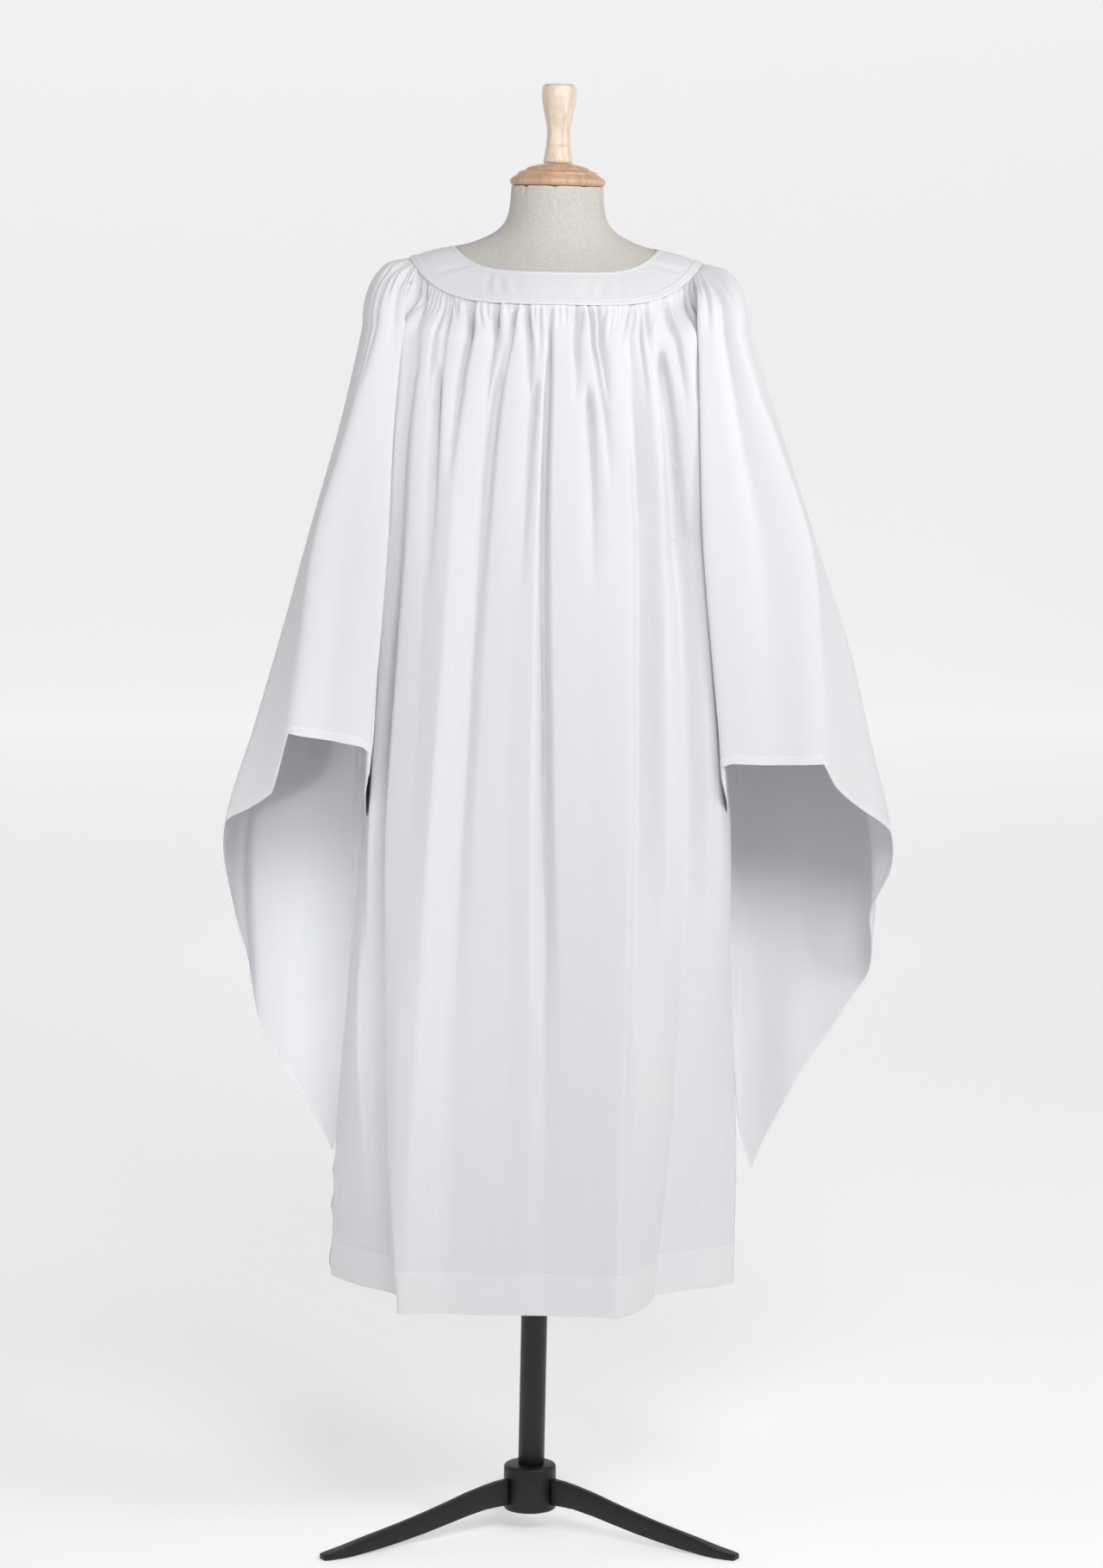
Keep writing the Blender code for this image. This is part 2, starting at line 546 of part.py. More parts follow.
def wall_mesh(outer_rows, inner_rows, closed):
    """Points and faces of a closed wall between two skins. A closed wall runs all the way round."""
    points = []
    skins = []
    for rows in (outer_rows, inner_rows):
        numbers = []
        for row in rows:
            first = len(points)
            points.extend(map(tuple, row))
            numbers.append(list(range(first, len(points))) + ([first] if closed else []))
        skins.append(numbers)
    faces = []
    for skin in skins:
        for upper, lower in zip(skin, skin[1:]):
            join_rows(faces, upper, lower)
    outer, inner = skins
    join_rows(faces, outer[0], inner[0])
    join_rows(faces, outer[-1], inner[-1])
    if not closed:
        for column in (0, -1):
            join_rows(faces, [row[column] for row in outer], [row[column] for row in inner])
    return points, faces


def make_material(name):
    material = bpy.data.materials.get(name)
    if material:
        return material
    red, green, blue, roughness, metallic = COLOURS[name]
    material = bpy.data.materials.new(name)
    material.use_nodes = True
    shader = material.node_tree.nodes["Principled BSDF"]
    shader.inputs["Base Color"].default_value = (red, green, blue, 1.0)
    shader.inputs["Roughness"].default_value = roughness
    shader.inputs["Metallic"].default_value = metallic
    material.diffuse_color = (red, green, blue, 1.0)
    return material


def add_object(name, mesh, material, parent=None):
    obj = bpy.data.objects.new(name, mesh)
    collection.objects.link(obj)
    mesh.materials.append(make_material(material))
    if parent:
        obj.parent = parent
    return obj


def add_mesh(name, points, faces, material, parent=None, smooth_faces=True):
    mesh = bpy.data.meshes.new(name)
    mesh.from_pydata(points, [], faces)
    shell = bmesh.new()
    shell.from_mesh(mesh)
    bmesh.ops.recalc_face_normals(shell, faces=shell.faces)
    shell.to_mesh(mesh)
    shell.free()
    mesh.shade_smooth() if smooth_faces else mesh.shade_flat()
    return add_object(name, mesh, material, parent)


def yoke_point(angle, share):
    """Point on the yoke's middle surface, from the neckline (0) to its seam (1)."""
    neck = oval_point(NECK_OVAL, angle)
    seam = oval_point(SEAM_OVAL, angle)
    point = neck + (seam - neck) * share
    point[..., 2] += YOKE_CROWN * math.sin(math.pi * share)
    return point


def yoke_normal(angle, share):
    around = yoke_point(angle + 0.01, share) - yoke_point(angle - 0.01, share)
    across = yoke_point(angle, share + 0.01) - yoke_point(angle, share - 0.01)
    normal = unit(np.cross(across, around))
    blend = max(0.0, (share - YOKE_TURN) / (1 - YOKE_TURN))
    return unit(normal + (seam_normal(angle) - normal) * blend)


def make_yoke(upright):
    angle = np.arange(YOKE_COLUMNS) * 2 * math.pi / YOKE_COLUMNS
    outer = []
    inner = []
    for share, lap in YOKE_ROWS:
        point = yoke_point(angle, share)
        if share == 1.0:
            point = point - seam_down(angle) * SEAM_GAP / 2
        normal = yoke_normal(angle, share)
        outer.append(point + normal * (WALL / 2 + lap))
        inner.append(point - normal * WALL / 2)
    points, faces = wall_mesh(outer, inner, True)
    return add_mesh("yoke", points, faces, "cotton", upright)


def make_garment(upright):
    make_yoke(upright)
    for name, panel in make_panels().items():
        outer, inner = panel.walls()
        gathered = len(GATHER_DROPS)
        every = 2 if name in ("front_panel", "back_panel") else 1
        outer, inner = ([row if i < gathered else row[::every] for i, row in enumerate(skin)]
                        for skin in (outer, inner))
        points, faces = wall_mesh(outer, inner, False)
        add_mesh(name, points, faces, "cotton", upright)


def make_form(upright):
    angle = np.arange(FORM_COLUMNS) * 2 * math.pi / FORM_COLUMNS
    keys = ("side", "front", "back", "z_front", "z_side", "z_back")
    rings = [oval_point(dict(zip(keys, ring)), angle) for ring in FORM_RINGS]
    for share in FORM_UNDER_YOKE:
        rings.append(yoke_point(angle, share) - yoke_normal(angle, share) * (WALL / 2 + YOKE_SEAT))
    rings += [oval_point(dict(zip(keys, ring)), angle) for ring in FORM_RINGS_BELOW]
    points = [tuple(point) for ring in rings for point in ring]
    faces = []
    for ring in range(len(rings) - 1):
        upper = [ring * FORM_COLUMNS + k % FORM_COLUMNS for k in range(FORM_COLUMNS + 1)]
        join_rows(faces, upper, [number + FORM_COLUMNS for number in upper])
    faces.append(tuple(range(FORM_COLUMNS)))
    faces.append(tuple(range(len(points) - FORM_COLUMNS, len(points))))
    add_mesh("form_torso", points, faces, "linen", upright)


def make_turned(name, profile, material, upright):
    mesh = bpy.data.meshes.new(name)
    mesh.from_pydata([(radius, 0.0, height) for radius, height in profile],
                     [(k, k + 1) for k in range(len(profile) - 1)], [])
    obj = add_object(name, mesh, material, upright)
    screw = obj.modifiers.new("Turn", "SCREW")
    screw.axis = "Z"
    screw.steps = TURNED_STEPS
    screw.render_steps = TURNED_STEPS
    screw.use_merge_vertices = True
    screw.merge_threshold = 0.0001
    screw.use_smooth_shade = True


def make_rod(name, radius, bottom, top, sides, material, parent=None):
    rod = bmesh.new()
    bmesh.ops.create_cone(rod, cap_ends=True, segments=sides, radius1=radius, radius2=radius, depth=top - bottom)
    mesh = bpy.data.meshes.new(name)
    rod.to_mesh(mesh)
    rod.free()
    obj = add_object(name, mesh, material, parent)
    obj.location.z = (top + bottom) / 2
    return obj


def make_leg(name, heading):
    """A flat bar on edge, bent down to the floor and flattened at its tip."""
    points = []
    for reach, low, tall, wide in LEG_TABLE:
        points += [(reach, -wide / 2, low), (reach, wide / 2, low), (reach, wide / 2, low + tall),
                   (reach, -wide / 2, low + tall)]
    faces = []
    for ring in range(len(LEG_TABLE) - 1):
        upper = [ring * 4 + k % 4 for k in range(5)]
        join_rows(faces, upper, [number + 4 for number in upper])
    faces.append((0, 1, 2, 3))
    faces.append(tuple(range(len(points) - 4, len(points))))
    leg = add_mesh(name, points, faces, "black_steel", None, False)
    leg.location = (AXIS_X, AXIS_Y, 0.0)
    leg.rotation_euler.z = math.radians(heading)
    bevel = leg.modifiers.new("Edges", "BEVEL")
    bevel.width = LEG_EDGE
    bevel.segments = 1
    bevel.limit_method = "ANGLE"
    bevel.angle_limit = math.radians(50)


def make_stand(upright):
    make_rod("pole", POLE_RADIUS, POLE_BOTTOM, POLE_TOP, 20, "black_steel", upright)
    hub = make_rod("hub", HUB_RADIUS, HUB_BOTTOM, HUB_TOP, 24, "black_steel")
    hub.location.x = AXIS_X
    hub.location.y = AXIS_Y
    bevel = hub.modifiers.new("Edges", "BEVEL")
    bevel.width = HUB_EDGE
    bevel.segments = 2
    bevel.limit_method = "ANGLE"
    for name, heading in LEG_ANGLES.items():
        make_leg(name, heading)


for old in list(bpy.data.objects):
    bpy.data.objects.remove(old, do_unlink=True)
collection = bpy.data.collections.new("surplice")
bpy.context.scene.collection.children.link(collection)

upright = bpy.data.objects.new("upright", None)
collection.objects.link(upright)
upright.location = (AXIS_X, AXIS_Y, 0.0)
upright.rotation_euler.y = TILT

make_garment(upright)
make_form(upright)
make_turned("neck_cap", CAP_PROFILE, "wood", upright)
make_turned("finial", FINIAL_PROFILE, "pale_wood", upright)
make_stand(upright)
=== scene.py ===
import math
import bmesh
import bpy
import numpy as np
from mathutils import Matrix, Vector


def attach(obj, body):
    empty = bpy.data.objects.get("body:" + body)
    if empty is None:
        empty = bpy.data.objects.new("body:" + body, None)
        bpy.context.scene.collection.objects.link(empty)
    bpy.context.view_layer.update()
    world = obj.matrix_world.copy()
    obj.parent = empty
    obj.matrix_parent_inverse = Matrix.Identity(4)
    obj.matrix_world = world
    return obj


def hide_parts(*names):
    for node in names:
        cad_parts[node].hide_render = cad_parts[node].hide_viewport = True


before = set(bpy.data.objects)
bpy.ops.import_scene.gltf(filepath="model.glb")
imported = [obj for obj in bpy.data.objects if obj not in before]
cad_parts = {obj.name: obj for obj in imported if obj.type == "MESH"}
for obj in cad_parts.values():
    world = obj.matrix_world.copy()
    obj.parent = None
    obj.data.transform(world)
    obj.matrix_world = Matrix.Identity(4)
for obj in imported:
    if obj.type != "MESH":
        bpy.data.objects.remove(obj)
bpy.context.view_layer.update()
print("frame loaded:", len(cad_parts), "nodes")


def linearColour(hexText):
    # sRGB hex to the linear values that the sockets take
    values = [int(hexText[k:k + 2], 16) / 255 for k in (1, 3, 5)]
    linear = [v / 12.92 if v <= 0.04045 else ((v + 0.055) / 1.055) ** 2.4 for v in values]
    return (*linear, 1.0)


def addNode(tree, kind, inputs=None, links=None, **settings):
    # one node with its socket values, what feeds its sockets, and its settings
    node = tree.nodes.new("ShaderNode" + kind)
    for name, value in settings.items():
        setattr(node, name, value)
    for name, value in (inputs or {}).items():
        node.inputs[name].default_value = value
    for name, (source, output) in (links or {}).items():
        tree.links.new(source.outputs[output], node.inputs[name])
    return node


def newMaterial(name, colour, roughness):
    # cloth, oiled wood, paper and powder coat are all non-metals with an IOR of about 1.5
    material = bpy.data.materials.new(name)
    material.use_nodes = True
    material.diffuse_color = linearColour(colour)
    shader = material.node_tree.nodes["Principled BSDF"]
    shader.inputs["Base Color"].default_value = linearColour(colour)
    shader.inputs["Roughness"].default_value = roughness
    shader.inputs["Metallic"].default_value = 0.0
    shader.inputs["IOR"].default_value = 1.5
    return material, material.node_tree, shader


def waveScale(spacing):
    # a wave texture makes 20 radians a unit
    return 2 * math.pi / spacing / 20


def addPiece(name, mesh, material):
    mesh.shade_smooth()
    mesh.materials.append(material)
    piece = bpy.data.objects.new(name, mesh)
    bpy.context.scene.collection.objects.link(piece)
    return piece


def deselectAll():
    if bpy.context.mode != "OBJECT":
        bpy.ops.object.mode_set(mode="OBJECT")
    bpy.ops.object.select_all(action="DESELECT")


def makeActive(piece):
    deselectAll()
    piece.select_set(True)
    bpy.context.view_layer.objects.active = piece


def applyModifiers(piece):
    makeActive(piece)
    for modifier in list(piece.modifiers):
        bpy.ops.object.modifier_apply(modifier=modifier.name)


def through(levels, values, at):
    # value at each place, on a smooth curve through the rows of a table
    levels = np.asarray(levels, float)
    values = np.asarray(values, float)
    at = np.asarray(at, float)
    slopes = np.gradient(values, levels, axis=0)
    row = np.clip(np.searchsorted(levels, at) - 1, 0, len(levels) - 2)
    low = (row,) if values.ndim == 1 else (row, np.arange(len(at)))
    high = (row + 1,) + low[1:]
    span = levels[row + 1] - levels[row]
    t = np.clip((at - levels[row]) / span, 0.0, 1.0)
    start = (1 + 2 * t) * (1 - t) ** 2 * values[low] + t * (1 - t) ** 2 * span * slopes[low]
    end = t * t * (3 - 2 * t) * values[high] + t * t * (t - 1) * span * slopes[high]
    return start + end


def ease(low, high, at):
    t = np.clip((at - low) / (high - low), 0.0, 1.0)
    return t * t * (3 - 2 * t)


def unitLength(vectors):
    return vectors / np.maximum(np.linalg.norm(vectors, axis=-1, keepdims=True), 1e-12)


# everything above the hub leans a little, with the form
stand = {
    "axisX": -0.033,
    "axisY": -0.041,
    "lean": math.radians(1.18),
}
standPlace = Matrix.Translation((stand["axisX"], stand["axisY"], 0.0))
leanMatrix = standPlace @ Matrix.Rotation(stand["lean"], 4, "Y")
leanTurn = np.array(leanMatrix)[:3, :3]


def leaned(points):
    return np.asarray(points) @ leanTurn.T + np.array(leanMatrix)[:3, 3]


cameraSettings = {
    "place": (-0.008, -5.041, 1.45),
    "tiltDown": math.radians(6.679),
    "sensor": 36.0,
    "lens": 101.88,
}
cameraData = bpy.data.cameras.new("camera")
cameraData.sensor_fit = "VERTICAL"
cameraData.sensor_height = cameraSettings["sensor"]
cameraData.lens = cameraSettings["lens"]
camera = bpy.data.objects.new("camera", cameraData)
camera.location = cameraSettings["place"]
camera.rotation_euler = (math.pi / 2 - cameraSettings["tiltDown"], 0.0, 0.0)
bpy.context.scene.collection.objects.link(camera)
bpy.context.scene.camera = camera

lightTable = (
    # name, place, looks at, width, height, watts, spread in degrees, colour
    ("frontTop", (0.6, -2.9, 3.0), (0.1, 0.0, 1.7), 1.3, 1.1, 15.2, 90, "#ffffff"),
    ("keyRight", (2.8, -2.3, 2.7), (0.0, 0.0, 1.4), 1.2, 1.4, 17.2, 110, "#fffefd"),
    ("fillLeft", (-2.1, -3.2, 2.2), (-0.1, 0.0, 1.3), 1.6, 1.6, 6.2, 120, "#fbfcff"),
    ("wingLeft", (-1.1, -3.2, 0.9), (-0.55, 0.1, 0.62), 0.4, 0.4, 0.62, 16, "#ffffff"),
    ("sideRight", (3.0, -0.6, 2.3), (0.0, 0.0, 1.3), 1.2, 1.6, 14.0, 180, "#fdfdff"),
    ("sideLeft", (-3.0, -1.0, 2.1), (0.0, 0.0, 1.3), 1.2, 1.6, 7.4, 120, "#fdfdff"),
    ("rimLeft", (-2.0, 1.9, 1.9), (0.0, 0.0, 1.0), 1.0, 2.2, 5.0, 180, "#ffffff"),
    ("rimRight", (2.0, 1.9, 1.9), (0.0, 0.0, 1.0), 1.0, 2.2, 5.0, 180, "#ffffff"),
)
for name, place, target, width, height, watts, spread, colour in lightTable:
    light = bpy.data.lights.new(name, "AREA")
    light.shape = "RECTANGLE"
    light.size = width
    light.size_y = height
    light.energy = watts
    light.spread = math.radians(spread)
    light.color = linearColour(colour)[:3]
    lamp = bpy.data.objects.new(name, light)
    lamp.location = place
    lamp.rotation_euler = (Vector(target) - Vector(place)).to_track_quat("-Z", "Y").to_euler()
    bpy.context.scene.collection.objects.link(lamp)

worldSettings = {
    "colour": "#f0f1f3",
    "strength": 0.165,
}
world = bpy.data.worlds.new("studio")
world.use_nodes = True
worldShader = world.node_tree.nodes["Background"]
worldShader.inputs["Color"].default_value = linearColour(worldSettings["colour"])
worldShader.inputs["Strength"].default_value = worldSettings["strength"]
bpy.context.scene.world = world
bpy.context.scene.view_settings.view_transform = "Standard"

backdropSettings = {
    "halfWidth": 9.0,
    "front": -7.0,
    "wall": 12.0,  # where the paper has turned upright, far enough to walk round the stand
    "bend": 3.0,  # radius of the turn
    "top": 9.0,
    "bendSteps": 24,
    "glowFrom": (0.4, 4.5),  # the paper's glow grows between these distances behind the stand
    "glow": (0.375, 0.55),  # near the stand, and at the far end
}


def makeBackdrop():
    # one sweep of paper: floor, turn and wall
    s = backdropSettings
    profile = [(s["front"], 0.0)]
    for k in range(s["bendSteps"] + 1):
        a = k / s["bendSteps"] * math.pi / 2
        profile.append((s["wall"] - s["bend"] + s["bend"] * math.sin(a), s["bend"] * (1 - math.cos(a))))
    profile.append((s["wall"], s["top"]))
    points = [(x, y, z) for y, z in profile for x in (-s["halfWidth"], s["halfWidth"])]
    faces = [(2 * k, 2 * k + 1, 2 * k + 3, 2 * k + 2) for k in range(len(profile) - 1)]
    mesh = bpy.data.meshes.new("backdrop")
    mesh.from_pydata(points, [], faces)
    # matt white paper, lit evenly from behind so that it stays plain
    material, tree, shader = newMaterial("backdropPaper", "#f1f1f1", 0.9)
    shader.inputs["Emission Color"].default_value = linearColour("#ffffff")
    place = addNode(tree, "TexCoord")
    parts = addNode(tree, "SeparateXYZ", links={"Vector": (place, "Object")})
    glow = addNode(tree, "MapRange", dict(enumerate((*s["glowFrom"], *s["glow"]), 1)),
                   {"Value": (parts, "Y")}, interpolation_type="SMOOTHSTEP")
    tree.links.new(glow.outputs[0], shader.inputs["Emission Strength"])
    addPiece("backdrop", mesh, material)


makeBackdrop()
print("camera, lights and backdrop ready")


fabric = {
    "colour": "#e5e5e7",
    "shadeColour": "#e1e2e5",
    "doubledColour": "#ebebed",
    "roughness": 0.82,
    "sheen": 0.12,
    "sheenRoughness": 0.5,
    "specular": 0.25,
    "threadSpacing": 0.0009,  # real lawn has 0.35 mm, drawn coarser so that it shows
    "warpSlub": (0.0022, 0.060),  # thick places in the threads, across and down the cloth
    "weftSlub": (0.042, 0.0022),
    "relief": 0.0002,
    "patches": 9.0,  # soft changes of tone, so many to a metre
}


def makeCotton():
    # cotton and polyester lawn, plain woven and pressed: white and matt, with a faint sheen at the edges
    material, tree, shader = newMaterial("cottonLawn", fabric["colour"], fabric["roughness"])
    shader.inputs["Sheen Weight"].default_value = fabric["sheen"]
    shader.inputs["Sheen Roughness"].default_value = fabric["sheenRoughness"]
    shader.inputs["Specular IOR Level"].default_value = fabric["specular"]
    uv = addNode(tree, "UVMap", uv_map="UVMap")
    slubs = []
    for wide, long in (fabric["warpSlub"], fabric["weftSlub"]):
        stretched = addNode(tree, "Mapping", {"Scale": (1 / wide, 1 / long, 1.0)}, {"Vector": (uv, "UV")})
        slubs.append(addNode(tree, "TexNoise", {"Scale": 1.0, "Detail": 2.0, "Roughness": 0.55},
                             {"Vector": (stretched, "Vector")}, noise_dimensions="2D"))
    thread = {"Scale": waveScale(fabric["threadSpacing"]), "Distortion": 0.6, "Detail": 1.0}
    warp, weft = (addNode(tree, "TexWave", thread, {"Vector": (uv, "UV")}, bands_direction=w) for w in "XY")
    weave = addNode(tree, "Math", None, {0: (warp, "Fac"), 1: (weft, "Fac")}, operation="MULTIPLY")
    thick = addNode(tree, "Math", None, {0: (slubs[0], "Fac"), 1: (slubs[1], "Fac")}, operation="ADD")
    height = addNode(tree, "Math", {1: 0.25}, {0: (weave, "Value"), 2: (thick, "Value")},
                     operation="MULTIPLY_ADD")
    bump = addNode(tree, "Bump", {"Strength": 0.10, "Distance": fabric["relief"]},
                   {"Height": (height, "Value")})
    tree.links.new(bump.outputs["Normal"], shader.inputs["Normal"])
    place = addNode(tree, "TexCoord")
    patch = addNode(tree, "TexNoise", {"Scale": fabric["patches"], "Detail": 3.0, "Roughness": 0.5},
                    {"Vector": (place, "Object")})
    mixed = addNode(tree, "Math", {1: 0.5}, {0: (patch, "Fac"), 2: (slubs[0], "Fac")},
                    operation="MULTIPLY_ADD")
    tone = addNode(tree, "MapRange", {"From Min": 0.45, "From Max": 1.05}, {"Value": (mixed, "Value")})
    ends = {6: linearColour(fabric["shadeColour"]), 7: linearColour(fabric["colour"])}
    colour = addNode(tree, "Mix", ends, {"Factor": (tone, "Result")}, data_type="RGBA")
    # a turned hem is three layers thick, so it looks whiter
    layers = addNode(tree, "Attribute", attribute_name="doubled")
    whiter = addNode(tree, "Mix", {7: linearColour(fabric["doubledColour"])},
                     {"Factor": (layers, "Fac"), 6: (colour, 2)}, data_type="RGBA")
    tree.links.new(whiter.outputs[2], shader.inputs["Base Color"])
    return material


cotton = makeCotton()


# the garment's shape is worked out for an upright form: x = 0 is its middle and the front faces -y
neckOval = {"side": 0.113, "front": 0.095, "back": 0.088, "zFront": 1.442, "zSide": 1.468, "zBack": 1.474}
seamOval = {"side": 0.163, "front": 0.135, "back": 0.125, "zFront": 1.407, "zSide": 1.454, "zBack": 1.428}
ovalSharpness = 5
# the cloth's outward direction at the yoke seam
seamLean = {"out": 0.88, "lessAtSides": 0.50, "sharpness": 4}
raglanTop = math.radians(66.0)  # where the sleeve seams meet the yoke
raglanCurve = 6.0  # it keeps to the front and then turns to the armpit
raglanForward = math.radians(3.5)
raglanForwardEnd = 0.75  # share of the way down to the armpit

body = {
    "armpit": 1.15,
    "hem": 0.292,
    "hemDepth": 0.046,
    "foldFade": (1.43, 1.37),  # the folds die out between these heights
    "gatherZone": 0.11,  # below the yoke seam
    "rowCrowding": 1.15,
    "settle": 0.05,
    "halfThickness": 0.00030,
    "hemExtra": 0.00035,
    "hemDoubled": 0.45,
    "hemDimple": 1.4,  # share of the extra thickness that the stitches press out
    "stitchDoubled": 1.3,
    "turnRows": (0.008, 0.0035, 0.0012, 0.0, -0.0012, -0.004),  # from the top of the hem
    "edgeRows": (0.034, 0.024, 0.014, 0.006, 0.0022, 0.0007, 0.0),  # from its foot
}

bodyTable = (
    # height, half width, front depth, back depth, squareness
    (0.290, 0.238, 0.180, 0.170, 3.0),
    (0.430, 0.235, 0.177, 0.165, 3.0),
    (0.570, 0.226, 0.173, 0.160, 3.0),
    (0.690, 0.216, 0.169, 0.155, 3.0),
    (0.810, 0.206, 0.165, 0.150, 2.9),
    (0.900, 0.196, 0.160, 0.146, 2.8),
    (1.050, 0.179, 0.152, 0.140, 2.6),
    (1.150, 0.168, 0.148, 0.137, 2.5),
    (1.300, 0.164, 0.144, 0.132, 2.4),
    (1.400, 0.163, 0.140, 0.129, 2.2),
    (1.457, 0.163, 0.136, 0.126, 2.0),
)

foldHeights = (0.29, 0.60, 0.90, 1.20, 1.40)
foldLines = (
    # angle in degrees at each of those heights, then how far out or in, in millimetres
    (-90.0, -90.0, -90.0, -90.0, -90.0, -4, -2, 0, 0, 0),
    (-68.0, -66.5, -72.0, -63.0, -62.5, -55, -8, 0, 32, 28),
    (-62.0, -65.0, -61.6, -58.2, -58.6, -62, -20, 16, 38, 32),  # side strip, outer edge
    (-43.0, -58.0, -60.2, -56.2, -55.5, -45, -34, -12, 27, 19),
    (-39.5, -48.5, -53.0, -52.4, -51.0, 26, 10, 18, 29, 22),  # left fold, outer edge
    (-39.2, -43.1, -44.0, -46.6, -47.1, 22, 18, 15, 20, 17),
    (-38.5, -37.1, -36.5, -37.0, -36.6, 21, 21, 20, 16, 7),  # left fold, ridge
    (-30.9, -31.8, -31.7, -29.3, -23.7, 5, 3, 1, 2, 1),  # left fold, inner foot
    (-28.3, -29.8, -30.4, -28.4, -21.5, 2, 0, -6, -7, -2),
    (-21.7, -24.4, -25.4, -23.7, -17.5, 2, 2, 2, 2, 1),
    (-9.0, -11.4, -14.2, -14.2, -12.1, 1, 1, 2, 3, 2),
    (-2.4, -4.0, -5.0, -5.1, -3.0, 1, 3, 6, 6, 2),  # middle crease, sharp edge
    (3.0, 1.7, -0.4, -3.1, -1.6, 0, -4, -18, -13, -3),  # middle crease, bottom
    (9.0, 7.3, 3.0, -0.3, 0.7, 1, 1, 0, 0, 0),
    (20.1, 17.6, 16.9, 16.1, 17.4, 4, 4, 3, 3, 1),
    (26.3, 28.1, 30.0, 31.6, 29.1, 9, 9, 11, 9, 3),  # right fold, ridge
    (34.0, 32.8, 35.1, 36.8, 32.2, -12, -8, -9, -8, -2),  # trough beside it
    (50.0, 44.0, 41.1, 41.9, 37.2, -66, -20, 14, 17, 9),  # outer fold, ridge
    (64.0, 56.0, 50.4, 48.8, 45.2, -98, -42, 5, 10, 2),  # right valley
    (70.0, 62.0, 52.2, 50.8, 48.5, -85, -34, 24, 28, 12),
    (78.0, 70.0, 54.9, 53.4, 51.8, -62, -24, 32, 36, 25),  # right edge
    (84.0, 80.0, 66.0, 62.0, 61.5, -32, -12, 17, 31, 27),
    (90.0, 90.0, 90.0, 90.0, 90.0, -10, -4, 1, 1, 0),
    (104.0, 104.6, 104.8, 104.0, 104.0, -21, -16, -12, -8, 0),
    (121.0, 121.0, 120.8, 120.0, 119.0, 18, 16, 13, 9, 0),
    (127.0, 126.4, 125.8, 125.0, 123.0, 8, 5, 3, 2, 0),
    (147.0, 147.0, 147.2, 148.0, 148.0, -15, -14, -13, -10, 0),
    (161.0, 161.6, 162.2, 163.0, 163.0, 14, 13, 12, 9, 0),
    (170.0, 170.6, 171.0, 171.0, 171.0, 0, 0, 0, 0, 0),
    (184.0, 184.6, 185.2, 186.0, 186.0, -10, -12, -14, -13, 0),
    (199.0, 199.6, 200.2, 201.0, 201.0, 12, 12, 11, 9, 0),
    (205.0, 205.6, 206.0, 206.0, 206.0, 3, 3, 3, 2, 0),
    (219.0, 218.4, 217.8, 217.0, 217.0, -12, -13, -12, -9, 0),
    (234.0, 234.6, 235.0, 235.0, 235.0, 20, 16, 13, 10, 0),
    (241.0, 241.0, 240.8, 240.0, 240.0, 8, 6, 4, 3, 0),
    (256.0, 256.0, 256.0, 256.0, 256.0, -19, -15, -12, -8, 0),
    (270.0, 270.0, 270.0, 270.0, 270.0, -4, -2, 0, 0, 0),
)
foldRound = 0.7  # degrees over which the edges are rounded


def ovalPoint(oval, angle):
    # angle 0 is the front and a quarter turn is +x
    front = np.cos(angle) > 0
    sideShare = np.abs(np.sin(angle)) ** ovalSharpness
    depth = np.where(front, oval["front"], oval["back"])
    middle = np.where(front, oval["zFront"], oval["zBack"])
    height = middle + (oval["zSide"] - middle) * sideShare
    return np.stack([oval["side"] * np.sin(angle), -depth * np.cos(angle), height], axis=-1)


def seamNormal(angle):
    # outward direction of the cloth at the yoke seam, the same for the pieces that meet there
    sideShare = np.abs(np.sin(angle)) ** seamLean["sharpness"]
    out = seamLean["out"] - seamLean["lessAtSides"] * sideShare
    up = np.sqrt(1 - out * out)
    return np.stack([out * np.sin(angle), -out * np.cos(angle), up], axis=-1)


def foldOffset(degrees, height):
    # flat stretches between the lines, with their edges rounded a little
    around = (degrees + 90.0) % 360.0 - 90.0
    count = len(foldHeights)
    lines = []
    for line in foldLines:
        spot = through(foldHeights, line[:count], height)
        lines.append((spot, through(foldHeights, line[count:], height) / 1000))
    rounded = np.zeros(np.shape(around))
    for aside, weight in ((-foldRound, 0.25), (0.0, 0.5), (foldRound, 0.25)):
        place = np.clip(around + aside, -90.0, 270.0)
        offset = np.zeros(np.shape(around))
        for (lowAngle, lowDepth), (highAngle, highDepth) in zip(lines, lines[1:]):
            inside = (place >= lowAngle) & (place <= highAngle)
            share = (place - lowAngle) / (highAngle - lowAngle)
            offset = np.where(inside, lowDepth + (highDepth - lowDepth) * share, offset)
        rounded = rounded + weight * offset
    return rounded * ease(*body["foldFade"], height)


def bodyPoint(angle, height):
    columns = list(zip(*bodyTable))
    width, front, back, square = (through(columns[0], column, height) for column in columns[1:])
    depth = np.where(np.cos(angle) > 0, front, back)
    across = np.abs(np.sin(angle) / width) ** square
    along = np.abs(np.cos(angle) / depth) ** square
    radius = (across + along) ** (-1 / square) + foldOffset(np.degrees(angle), height)
    return np.stack([radius * np.sin(angle), -radius * np.cos(angle), height + 0 * angle], axis=-1)


def raglanAngle(height):
    # the sleeve seam's angle from the middle of the panel, at the side from the armpit down
    top = ovalPoint(seamOval, np.array(raglanTop))[2]
    down = np.clip((top - height) / (top - body["armpit"]), 0.0, 1.0)
    forward = raglanForward * np.sin(math.pi * np.clip(down / raglanForwardEnd, 0.0, 1.0))
    return raglanTop - forward + (math.pi / 2 - raglanTop) * down ** raglanCurve


